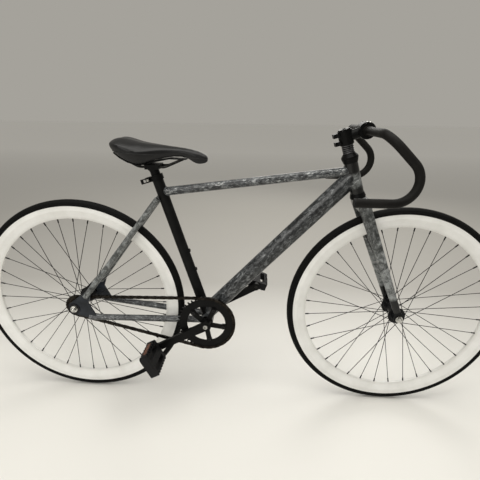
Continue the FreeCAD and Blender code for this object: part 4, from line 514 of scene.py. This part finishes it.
# Zinc plated steel: bright and neutral, a little blurred by its plating.
dress(worked_steel("zinc_plated_steel", "#a9a8a4", "#d8d7d3", 0.24, 0.1), "seat_clamp_skewer",
      "headset_bearings", "bottom_bracket_bearings", "rear_axle", "front_axle", "crank_spindle")
# Axle nuts: their flanges end 10.5 mm from the axle line, and the washers past them are blackened.
for end, axle in (("front", front_axle), ("rear", rear_axle)):
    dress(worked_steel("zinc_nut_and_black_washer_" + end, "#a9a8a4", "#d8d7d3", 0.22, 0.08,
                       lambda tree, place: off_axle(tree, place, axle), 0.0107), end + "_axle_nuts")
# The bolt in the middle of the crank is bright; those of the chainring, out on the arms, are blackened.
dress(worked_steel("zinc_and_black_crank_bolts", "#8f8e8b", "#bdbcb8", 0.26, 0.1,
                   lambda tree, place: off_axle(tree, place, crank_axle), 0.02), "crank_bolts")
# The clamp bolts behind the steerer are blackened; those of the bar clamp are bright.
dress(worked_steel("zinc_and_black_stem_bolts", "#b4b3af", "#dedddb", 0.2, 0.08,
                   lambda tree, place: along_axis(tree, place, steer_foot, -steer_forward)),
      "stem_bolts")
# Blackened steel: a dark oxide skin with a dull sheen of metal.
dress(worked_steel("blackened_steel", "#1d1d1c", "#333231", 0.36, 0.1), "saddle_rails", "steerer_tube",
      "crown_race", "bottom_bracket_cups", "pedal_axles")
# Polished dark rings between stem and headset: near-black with hard bright glints.
dress(worked_steel("polished_dark_spacer_alloy", "#48484a", "#606062", 0.12, 0.04), "headset_spacers")
# Chain steel under oil: brown-black, with soft glints on the plates.
dress(worked_steel("oiled_chain_steel", "#121110", "#36322d", 0.4, 0.12), "chain")
# The chainring is painted, and the paint is rubbed thin and dull by the chain.
dress(sprayed_black("black_chainring_paint", "#080808", "#101010", 0.42, 0.2, 0.1), "chainring")
# Sprocket steel under oil: a little paler than the chain, where its teeth are worn.
dress(worked_steel("oiled_sprocket_steel", "#1d1915", "#3d3731", 0.42, 0.1), "rear_sprocket")

# %% [markdown]
# Pedals, saddle base and bar plugs are moulded black plastic, grained by a spark-eroded mould. The
# grain is a bump of small cells with a slightly grey, dry look. The pedal reflectors are amber
# acrylic over a field of tiny moulded prisms, drawn here as a grid of pyramids.

# %% Moulded plastics
moulded, tree, shader, place = new_finish("moulded_black_plastic", Specular_IOR_Level=0.15)
# Mould grain is about 0.6 mm; it is drawn at 1.4 mm so that it shows. The scuffs are 16 mm across.
grain = add(tree, "ShaderNodeTexVoronoi", {"Scale": per_metre(1.4)}, {"Vector": place})
scuff = add(tree, "ShaderNodeTexNoise", {"Scale": per_metre(16), "Detail": 5.0}, {"Vector": place})
tone = add(tree, "ShaderNodeValToRGB", {"stops": ((0.35, "#0d0d0e"), (0.75, "#1a1a1b"))},
           {"Fac": scuff.outputs["Fac"]})
rough = add(tree, "ShaderNodeMapRange", {"To Min": 0.42, "To Max": 0.66},
            {"Value": scuff.outputs["Fac"]})
bump = add(tree, "ShaderNodeBump", {"Strength": 0.3, "Distance": 0.0003},
           {"Height": grain.outputs["Distance"]})
feed(tree, shader, Base_Color=tone.outputs["Color"], Roughness=rough.outputs[0],
     Normal=bump.outputs[0])
dress(moulded, "pedal_right", "pedal_left", "saddle_base", "bar_end_plugs")

amber, tree, shader, place = new_finish("amber_prism_acrylic_painted_glow_and_shade", Roughness=0.2, Coat_Weight=0.3,
                                        Coat_Roughness=0.05)
# Prisms 2.5 mm across, with a painted glow at their tips and deep brown between them. The whole amber is
# darkened as painted shade.
prism = add(tree, "ShaderNodeTexVoronoi", {"Scale": per_metre(2.5), "distance": "CHEBYCHEV",
                                           "Randomness": 0.0}, {"Vector": place})
tone = add(tree, "ShaderNodeValToRGB", {"stops": ((0.1, "#6a3208"), (0.6, "#331503"))},
           {"Fac": prism.outputs["Distance"]})
bump = add(tree, "ShaderNodeBump", {"Strength": 0.5, "Distance": 0.0008},
           {"Height": prism.outputs["Distance"]})
feed(tree, shader, Base_Color=tone.outputs["Color"], Normal=bump.outputs[0])
dress(amber, "pedal_reflectors_right", "pedal_reflectors_left")

# %% [markdown]
# The saddle is foam on a plastic base, under a stretched cover of satin black leathercloth. A lofted
# solid looks carved, so its skin is made again here: a copy is shrunk a little, to leave room for the
# foam to swell, and remeshed into even faces that a simulation can bend.

# %% Saddle pad
foam_room = 0.0025
skin_step = 0.004
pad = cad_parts["saddle_cover"].copy()
pad.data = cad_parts["saddle_cover"].data.copy()
pad.name = "saddle_pad"
pad.parent = None
pad.matrix_world = Matrix.Identity(4)
bpy.context.collection.objects.link(pad)
pick(pad)
bpy.ops.object.mode_set(mode="EDIT")
bpy.ops.mesh.select_all(action="SELECT")
bpy.ops.mesh.remove_doubles(threshold=merge_gap)
bpy.ops.transform.shrink_fatten(value=-foam_room)
bpy.ops.object.mode_set(mode="OBJECT")
remesh = pad.modifiers.new("even_skin", "REMESH")
remesh.mode = "VOXEL"
remesh.voxel_size = skin_step
bpy.ops.object.modifier_apply(modifier=remesh.name)
print("saddle skin", len(pad.data.vertices), "points")

# %% [markdown]
# Foam pushes its cover out until the stretch of the cover holds it. A short cloth simulation with
# pressure inside does the same. The underside is held where the base carries it, and no point may
# move more than a few millimetres, so the pad keeps its room in the frame.

# %% Blow the pad up
underside_facing = -0.35
swell_limit = 0.005
swell_frames = 20
under = [v.index for v in pad.data.vertices if v.normal.z < underside_facing]
held = pad.vertex_groups.new(name="held_by_base")
held.add(under, 1.0, "REPLACE")
start_places = [v.co.copy() for v in pad.data.vertices]
foam = pad.modifiers.new("foam", "CLOTH")
foam.settings.use_pressure = True
foam.settings.uniform_pressure_force = 4.0
foam.settings.effector_weights.gravity = 0.0
foam.settings.vertex_group_mass = held.name
foam.settings.tension_stiffness = 25.0
foam.settings.bending_stiffness = 1.5
scene = bpy.context.scene
for step in range(1, swell_frames + 1):
    scene.frame_set(step)
bpy.ops.object.modifier_apply(modifier=foam.name)
scene.frame_set(1)
moved = 0.0
for vertex, place in zip(pad.data.vertices, start_places):
    push = vertex.co - place
    if push.length > swell_limit:
        vertex.co = place + push.normalized() * swell_limit
    moved = max(moved, (vertex.co - place).length)
print("largest swell, mm", round(moved * 1000, 2))

# %% [markdown]
# The cover dips along the middle and splits into two lobes at the tail, and a firm ridge runs along
# each edge of the seat, where the top meets the flank. These are pressed in after the swelling,
# because the even skin of the simulation would smooth them away. One subdivision then gives the soft
# highlights of stretched leathercloth.

# %% Press in the channel, the tail notch and the ridges
low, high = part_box("saddle_cover")
length = high.x - low.x
# Shares run along the saddle, from 0 at the tail to 1 at the nose.
ridge_end_share, ridge_fade_share = 0.8, 0.3
ridge_facing, ridge_facing_spread = 0.45, 0.3
ridge_rise, ridge_clear_of_middle = 0.0012, 0.01
top_facing = 0.1
channel_half_width, channel_depth = 0.012, 0.003
channel_start_share, channel_run_share = 0.02, 0.80
valley_half_width, valley_depth, valley_end_share = 0.017, 0.009, 0.22
notch_depth, notch_end_share = 0.014, 0.13
ridge_count = 0
for vertex in pad.data.vertices:
    along = (vertex.co.x - low.x) / length
    facing = vertex.normal.z
    # The ridge is where the skin turns from the crown to the flank. It fades out on the nose.
    firm = max(0.0, min(1.0, (ridge_end_share - along) / ridge_fade_share))
    firm *= max(0.0, 1.0 - abs(facing - ridge_facing) / ridge_facing_spread)
    if firm > 0.0 and abs(vertex.co.y) > ridge_clear_of_middle:
        vertex.co += Vector((0, math.copysign(ridge_rise, vertex.co.y), ridge_rise)) * firm
        ridge_count += 1
    middle = math.exp(-(vertex.co.y / channel_half_width) ** 2)
    if facing > top_facing:
        reach = min(1.0, max(0.0, (along - channel_start_share) / channel_run_share))
        run = max(0.0, math.sin(math.pi * reach))
        valley = math.exp(-(vertex.co.y / valley_half_width) ** 2)
        valley *= max(0.0, 1.0 - along / valley_end_share)
        vertex.co.z -= channel_depth * middle * run + valley_depth * valley
    vertex.co.x += notch_depth * middle * max(0.0, 1.0 - along / notch_end_share)
pick(pad)
bpy.ops.object.mode_set(mode="EDIT")
bpy.ops.mesh.select_all(action="SELECT")
bpy.ops.mesh.vertices_smooth(factor=0.5, repeat=5)
bpy.ops.object.mode_set(mode="OBJECT")
smooth = pad.modifiers.new("soft_skin", "SUBSURF")
smooth.levels = 1
smooth.render_levels = 1
bpy.ops.object.modifier_apply(modifier=smooth.name)
bpy.ops.object.shade_smooth()
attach(pad, "seat")
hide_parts("saddle_cover")
print("saddle pad faces", len(pad.data.polygons), "ridge points", ridge_count)

# %% [markdown]
# Leathercloth is a vinyl skin on knitted backing, embossed with a fine pebble grain. It is satin, not
# glossy: the grain scatters the highlight into a soft sheen along the ridges of the saddle.

# %% Saddle leathercloth
leathercloth, tree, shader, place = new_finish("satin_black_leathercloth", Specular_IOR_Level=0.3,
                                               Sheen_Weight=0.02, Sheen_Roughness=0.4)
# Pebble grain is about 0.8 mm; it is drawn at 1.5 mm so that it shows. Wear from handling is in clouds
# 30 mm across.
pebble = add(tree, "ShaderNodeTexVoronoi", {"Scale": per_metre(1.5), "feature": "SMOOTH_F1"},
             {"Vector": place})
cloud = add(tree, "ShaderNodeTexNoise", {"Scale": per_metre(30), "Detail": 4.0}, {"Vector": place})
tone = add(tree, "ShaderNodeValToRGB", {"stops": ((0.35, "#080809"), (0.7, "#101011"))},
           {"Fac": cloud.outputs["Fac"]})
rough = add(tree, "ShaderNodeMapRange", {"To Min": 0.32, "To Max": 0.42},
            {"Value": cloud.outputs["Fac"]})
bump = add(tree, "ShaderNodeBump", {"Strength": 0.2, "Distance": 0.0003},
           {"Height": pebble.outputs["Distance"]})
feed(tree, shader, Base_Color=tone.outputs["Color"], Roughness=rough.outputs[0],
     Normal=bump.outputs[0])
cover(pad, leathercloth)
dress(leathercloth, "saddle_cover")

# %% [markdown]
# A saddle cover is closed by a welt, a thin sewn cord that runs right round its flank. Sliced from
# the pad by a sloping plane, the welt follows every swell of it, which a drawn curve would not. The
# slice leaves a ring of edges, and a round bevel on that ring makes the cord.

# %% Saddle welt
welt_radius = 0.0011
# The plane starts half way up the tail and sinks a third of the height by the nose.
welt_rise_share = 0.53
welt_sink_share = 0.33


def cord_from_edges(name, radius, ripple=0.0, ripple_step=1.0):
    """Turns the picked object's edge ring into a round cord, with a ripple along it if asked."""
    bpy.ops.object.convert(target="CURVE")
    curve = bpy.context.object
    curve.name = name
    curve.data.bevel_depth = radius
    curve.data.bevel_resolution = 2
    for spline in curve.data.splines:
        run = 0.0
        last = spline.points[0].co
        for point in spline.points:
            run += (point.co - last).length
            last = point.co
            point.radius = 1.0 + ripple * math.cos(2 * math.pi * run / ripple_step)
    bpy.ops.object.convert(target="MESH")
    cord = bpy.context.object
    bpy.ops.object.mode_set(mode="EDIT")
    merge_and_face_outwards()
    bpy.ops.object.mode_set(mode="OBJECT")
    bpy.ops.object.shade_smooth()
    return cord


def lift_selected_edges():
    """Separates what is selected in edit mode and leaves it as the picked object."""
    bpy.ops.mesh.duplicate()
    bpy.ops.mesh.separate(type="SELECTED")
    bpy.ops.object.mode_set(mode="OBJECT")
    source = bpy.context.object
    ring = [piece for piece in bpy.context.selected_objects if piece != source][0]
    bpy.data.objects.remove(source)
    pick(ring)


pick(pad)
bpy.ops.object.duplicate()
bpy.ops.object.mode_set(mode="EDIT")
bpy.ops.mesh.select_mode(type="EDGE")
bpy.ops.mesh.select_all(action="SELECT")
height = high.z - low.z
plane_place = Vector((low.x, 0, low.z + welt_rise_share * height))
plane_facing = Vector((welt_sink_share * height / length, 0, 1.0))
bpy.ops.mesh.bisect(plane_co=plane_place, plane_no=plane_facing)
lift_selected_edges()
welt = cord_from_edges("saddle_welt", welt_radius)
cover(welt, leathercloth)
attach(welt, "seat")
print("welt faces", len(welt.data.polygons))

# %% [markdown]
# The frame is welded, and under the paint each joint keeps the bead that the welder laid: a rounded
# seam with a ripple for each dip of the rod. Where two tubes cross, their surfaces meet in a saddle
# shaped ring. Intersecting two cylinders in edit mode gives that ring exactly.

# %% Tubes that the welds join
bracket = Vector(crank_axle)
seat_up = Vector((-0.299041, 0, 0.954240))
seat_tube_length = 0.484
# Where the other tubes meet the seat tube and the steering axis, measured up them.
top_tube_rear = bracket + seat_up * 0.432
top_tube_front = steer_foot + steer_up * 0.470
down_tube_front = steer_foot + steer_up * 0.454
down_tube_rear = bracket + Vector((0, 0, 0.019))
head_tube_low = steer_foot + steer_up * 0.405
head_tube_top = steer_foot + steer_up * 0.494
half_shell = Vector((0, 0.034, 0))
# Half widths and half heights of the tubes.
head_tube_halves = (0.019, 0.019)
shell_halves = (0.02, 0.02)
top_tube_halves = (0.0127, 0.0127)
down_tube_halves = (0.0185, 0.0255)
seat_tube_halves = (0.016, 0.016)
stay_halves = (0.0107, 0.0107)
# A tube is its start, its end, its half width and its half height. Only a stub of it is needed.
stub = 0.12
head_tube_skin = (head_tube_low, head_tube_top) + head_tube_halves
seat_tube_skin = (bracket, bracket + seat_up * seat_tube_length) + seat_tube_halves
shell_skin = (bracket - half_shell, bracket + half_shell) + shell_halves
top_run = (top_tube_front - top_tube_rear).normalized() * stub
down_run = (down_tube_rear - down_tube_front).normalized() * stub
print("top tube", round((top_tube_front - top_tube_rear).length, 4), "m between its welds")

# %% [markdown]
# Each bead is named for its joint and wears the paint of the tube that ends there. The ring of edges
# becomes a cord about 2.5 mm in radius that swells and narrows every 2.6 mm, one ripple for each dip.

# %% Weld beads
main_bead = 0.0024
down_tube_bead = 0.0028
stay_bead = 0.0022
ripple_share = 0.14
ripple_step = 0.0026


def tube_skin(start, end, half_width, half_height):
    """An open cylinder between two points."""
    middle = (start + end) / 2
    turn = (end - start).to_track_quat("Z", "Y").to_euler()
    bpy.ops.mesh.primitive_cylinder_add(vertices=128, radius=1.0, depth=(end - start).length,
                                        end_fill_type="NOTHING", location=middle, rotation=turn,
                                        scale=(half_height, half_width, 1.0))
    bpy.ops.object.transform_apply(location=True, rotation=True, scale=True)
    return bpy.context.object


def weld_bead(name, tube, other, radius, paint):
    """A rippled bead where the first tube meets the second."""
    bpy.ops.object.select_all(action="DESELECT")
    first = tube_skin(*tube)
    second = tube_skin(*other)
    pick(second)
    first.select_set(True)
    bpy.ops.object.join()
    bpy.ops.object.mode_set(mode="EDIT")
    bpy.ops.mesh.select_mode(type="EDGE")
    bpy.ops.mesh.select_all(action="SELECT")
    bpy.ops.mesh.intersect(mode="SELECT", separate_mode="NONE", solver="FAST")
    lift_selected_edges()
    bead = cord_from_edges(name, radius, ripple_share, ripple_step)
    cover(bead, paint)
    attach(bead, "frame")
    print(name, "faces", len(bead.data.polygons))


weld_bead("weld_top_tube_front", (top_tube_front, top_tube_front - top_run) + top_tube_halves,
          head_tube_skin, main_bead, top_paint)
weld_bead("weld_top_tube_rear", (top_tube_rear, top_tube_rear + top_run) + top_tube_halves,
          seat_tube_skin, main_bead, top_paint)
weld_bead("weld_down_tube_front", (down_tube_front, down_tube_front + down_run) + down_tube_halves,
          head_tube_skin, down_tube_bead, head_paint)
weld_bead("weld_seat_tube_foot", (bracket, bracket + seat_up * stub) + seat_tube_halves,
          shell_skin, main_bead, satin_enamel)
for side, hand in ((-1, "right"), (1, "left")):
    stay_front = bracket + Vector((-0.012, 0.021 * side, 0))
    stay_rear = Vector((-0.458, 0.063 * side, 0.308))
    stay_run = (stay_rear - stay_front).normalized() * stub
    weld_bead("weld_chain_stay_" + hand, (stay_front, stay_front + stay_run) + stay_halves,
              shell_skin, stay_bead, stay_paint)

# %% [markdown]
# Each inner tube's valve passes through the rim. A small nickel nut holds it there, and a ribbed
# plastic cap keeps out the dirt. Both are turned from a cylinder that stands on the valve's own line:
# faces are inset, pushed in and bevelled, as the real ones are cut and moulded.

# %% Turning helpers
valve_turns = {"front": math.radians(110), "rear": math.radians(345)}
valve_line = Vector((math.cos(valve_turns["front"]), 0, math.sin(valve_turns["front"])))
smooth_angle = math.radians(35)
# How squarely a face looks along the valve's line, at least for an end and at most for a flank.
end_facing = 0.9
flank_facing = 0.5


def valve_piece(name, sides, radius, depth, from_axle):
    """A cylinder on the front wheel's valve, its middle at a distance from the axle."""
    bpy.ops.object.select_all(action="DESELECT")
    turn = (-valve_line).to_track_quat("Z", "Y").to_euler()
    bpy.ops.mesh.primitive_cylinder_add(vertices=sides, radius=radius, depth=depth, rotation=turn,
                                        location=Vector(front_axle) + valve_line * from_axle)
    piece = bpy.context.object
    piece.name = name
    bpy.ops.object.transform_apply(location=True, rotation=True, scale=True)
    bpy.ops.object.mode_set(mode="EDIT")
    bpy.ops.mesh.select_mode(type="FACE")
    return piece


def pick_faces(piece, test):
    """Selects the faces that pass the test, in edit mode."""
    bpy.ops.mesh.select_all(action="DESELECT")
    bpy.ops.object.mode_set(mode="OBJECT")
    for face in piece.data.polygons:
        face.select = test(face)
    bpy.ops.object.mode_set(mode="EDIT")


def facing_hub(face):
    return face.normal.dot(valve_line) < -end_facing


def finish_turned(piece, bevel):
    """Leaves edit mode with the normals outwards, and rounds the piece's sharp edges."""
    bpy.ops.mesh.select_all(action="SELECT")
    bpy.ops.mesh.normals_make_consistent(inside=False)
    bpy.ops.object.mode_set(mode="OBJECT")
    rounded = piece.modifiers.new("rounded_edges", "BEVEL")
    rounded.width = bevel
    rounded.segments = 2
    rounded.limit_method = "ANGLE"
    bpy.ops.object.modifier_apply(modifier=rounded.name)
    bpy.ops.object.shade_smooth_by_angle(angle=smooth_angle)


def twin_for_rear(piece, name):
    """A copy with its own mesh, turned and moved from the front wheel to the rear one in its mesh."""
    twin = piece.copy()
    twin.data = piece.data.copy()
    twin.name = name
    bpy.context.collection.objects.link(twin)
    pick(twin)
    turn = Matrix.Rotation(valve_turns["front"] - valve_turns["rear"], 4, "Y")
    twin.matrix_world = (Matrix.Translation(Vector(rear_axle)) @ turn
                         @ Matrix.Translation(-Vector(front_axle)))
    bpy.ops.object.transform_apply(location=True, rotation=True)
    return twin


print("front valve line", tuple(round(v, 3) for v in valve_line))

# %% [markdown]
# The nut is a hexagon with a dished face. The cap is a round with every other flank sunk, which leaves
# the ribs that a thumb grips, and its end is stepped down to a smaller dished tip. Each is modelled on
# the front wheel and copied to the rear one.

# %% Valve nuts and caps
nut_dish = 0.0007
cap_tip_step = 0.0022
cap_tip_dish = 0.0006
# Nickel plated brass: slightly warmer than zinc, and smoother.
nickel = worked_steel("nickel_plated_brass", "#b3aea3", "#d9d5cb", 0.2, 0.06)
nut = valve_piece("valve_nut_front", sides=6, radius=0.0062, depth=0.003, from_axle=0.2749)
pick_faces(nut, facing_hub)
bpy.ops.mesh.inset(thickness=0.0011)
bpy.ops.transform.translate(value=-valve_line * nut_dish)
finish_turned(nut, bevel=0.0004)

cap = valve_piece("valve_cap_front", sides=20, radius=0.0040, depth=0.016, from_axle=0.2395)
flanks = [face.index for face in cap.data.polygons if abs(face.normal.dot(valve_line)) < flank_facing]
pick_faces(cap, lambda face: face.index in flanks[::2])
bpy.ops.mesh.inset(thickness=0.00022, use_individual=True)
bpy.ops.transform.shrink_fatten(value=-0.0004)
pick_faces(cap, facing_hub)
bpy.ops.mesh.inset(thickness=0.0009)
bpy.ops.mesh.extrude_region_move(TRANSFORM_OT_translate={"value": -valve_line * cap_tip_step})
bpy.ops.mesh.inset(thickness=0.0008)
bpy.ops.transform.translate(value=-valve_line * cap_tip_dish)
finish_turned(cap, bevel=0.0003)
valve_rows = ((nut, "valve_nut", nickel, "bright_steel"), (cap, "valve_cap", moulded, "black_plastic"))
for piece, name, finish, slot in valve_rows:
    for made, body in ((piece, "front_wheel"), (twin_for_rear(piece, name + "_rear"), "rear_wheel")):
        cover(made, finish)
        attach(made, body)
    print(name, "faces", len(piece.data.polygons))

# %% [markdown]
# A tyre comes out of its mould with fine raised rings on each flank, which guide the eye to whether
# the bead sits evenly on the rim. A small ring is spun once round the axle for each, and the set is
# copied for the other wheel.

# %% Tyre flank rings
tyre_middle = 0.3235
tyre_section = 0.0125
rib_radius = 0.0007
# Degrees from the tyre's widest place, outwards from the axle.
rib_leans = (-16, 8, 26)
bpy.ops.object.select_all(action="DESELECT")
rib_parts = []
for side in (-1, 1):
    for lean in rib_leans:
        out = tyre_section * math.cos(math.radians(lean))
        rise = tyre_middle + tyre_section * math.sin(math.radians(lean))
        bpy.ops.mesh.primitive_circle_add(vertices=8, radius=rib_radius,
                                          location=(front_axle[0] + rise, side * out, front_axle[2]))
        bpy.ops.object.transform_apply(location=True)
        bpy.ops.object.mode_set(mode="EDIT")
        bpy.ops.mesh.select_all(action="SELECT")
        bpy.ops.mesh.spin(steps=144, angle=2 * math.pi, center=front_axle, axis=(0, 1, 0))
        merge_and_face_outwards()
        bpy.ops.object.mode_set(mode="OBJECT")
        rib_parts.append(bpy.context.object)
pick(rib_parts[0])
for part in rib_parts:
    part.select_set(True)
bpy.ops.object.join()
ribs = bpy.context.object
ribs.name = "tyre_flank_rings_front"
bpy.ops.object.shade_smooth()
for made, body, rubber in ((ribs, "front_wheel", front_rubber),
                           (twin_for_rear(ribs, "tyre_flank_rings_rear"), "rear_wheel", rear_rubber)):
    cover(made, rubber)
    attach(made, body)
print("tyre ring faces", len(ribs.data.polygons))
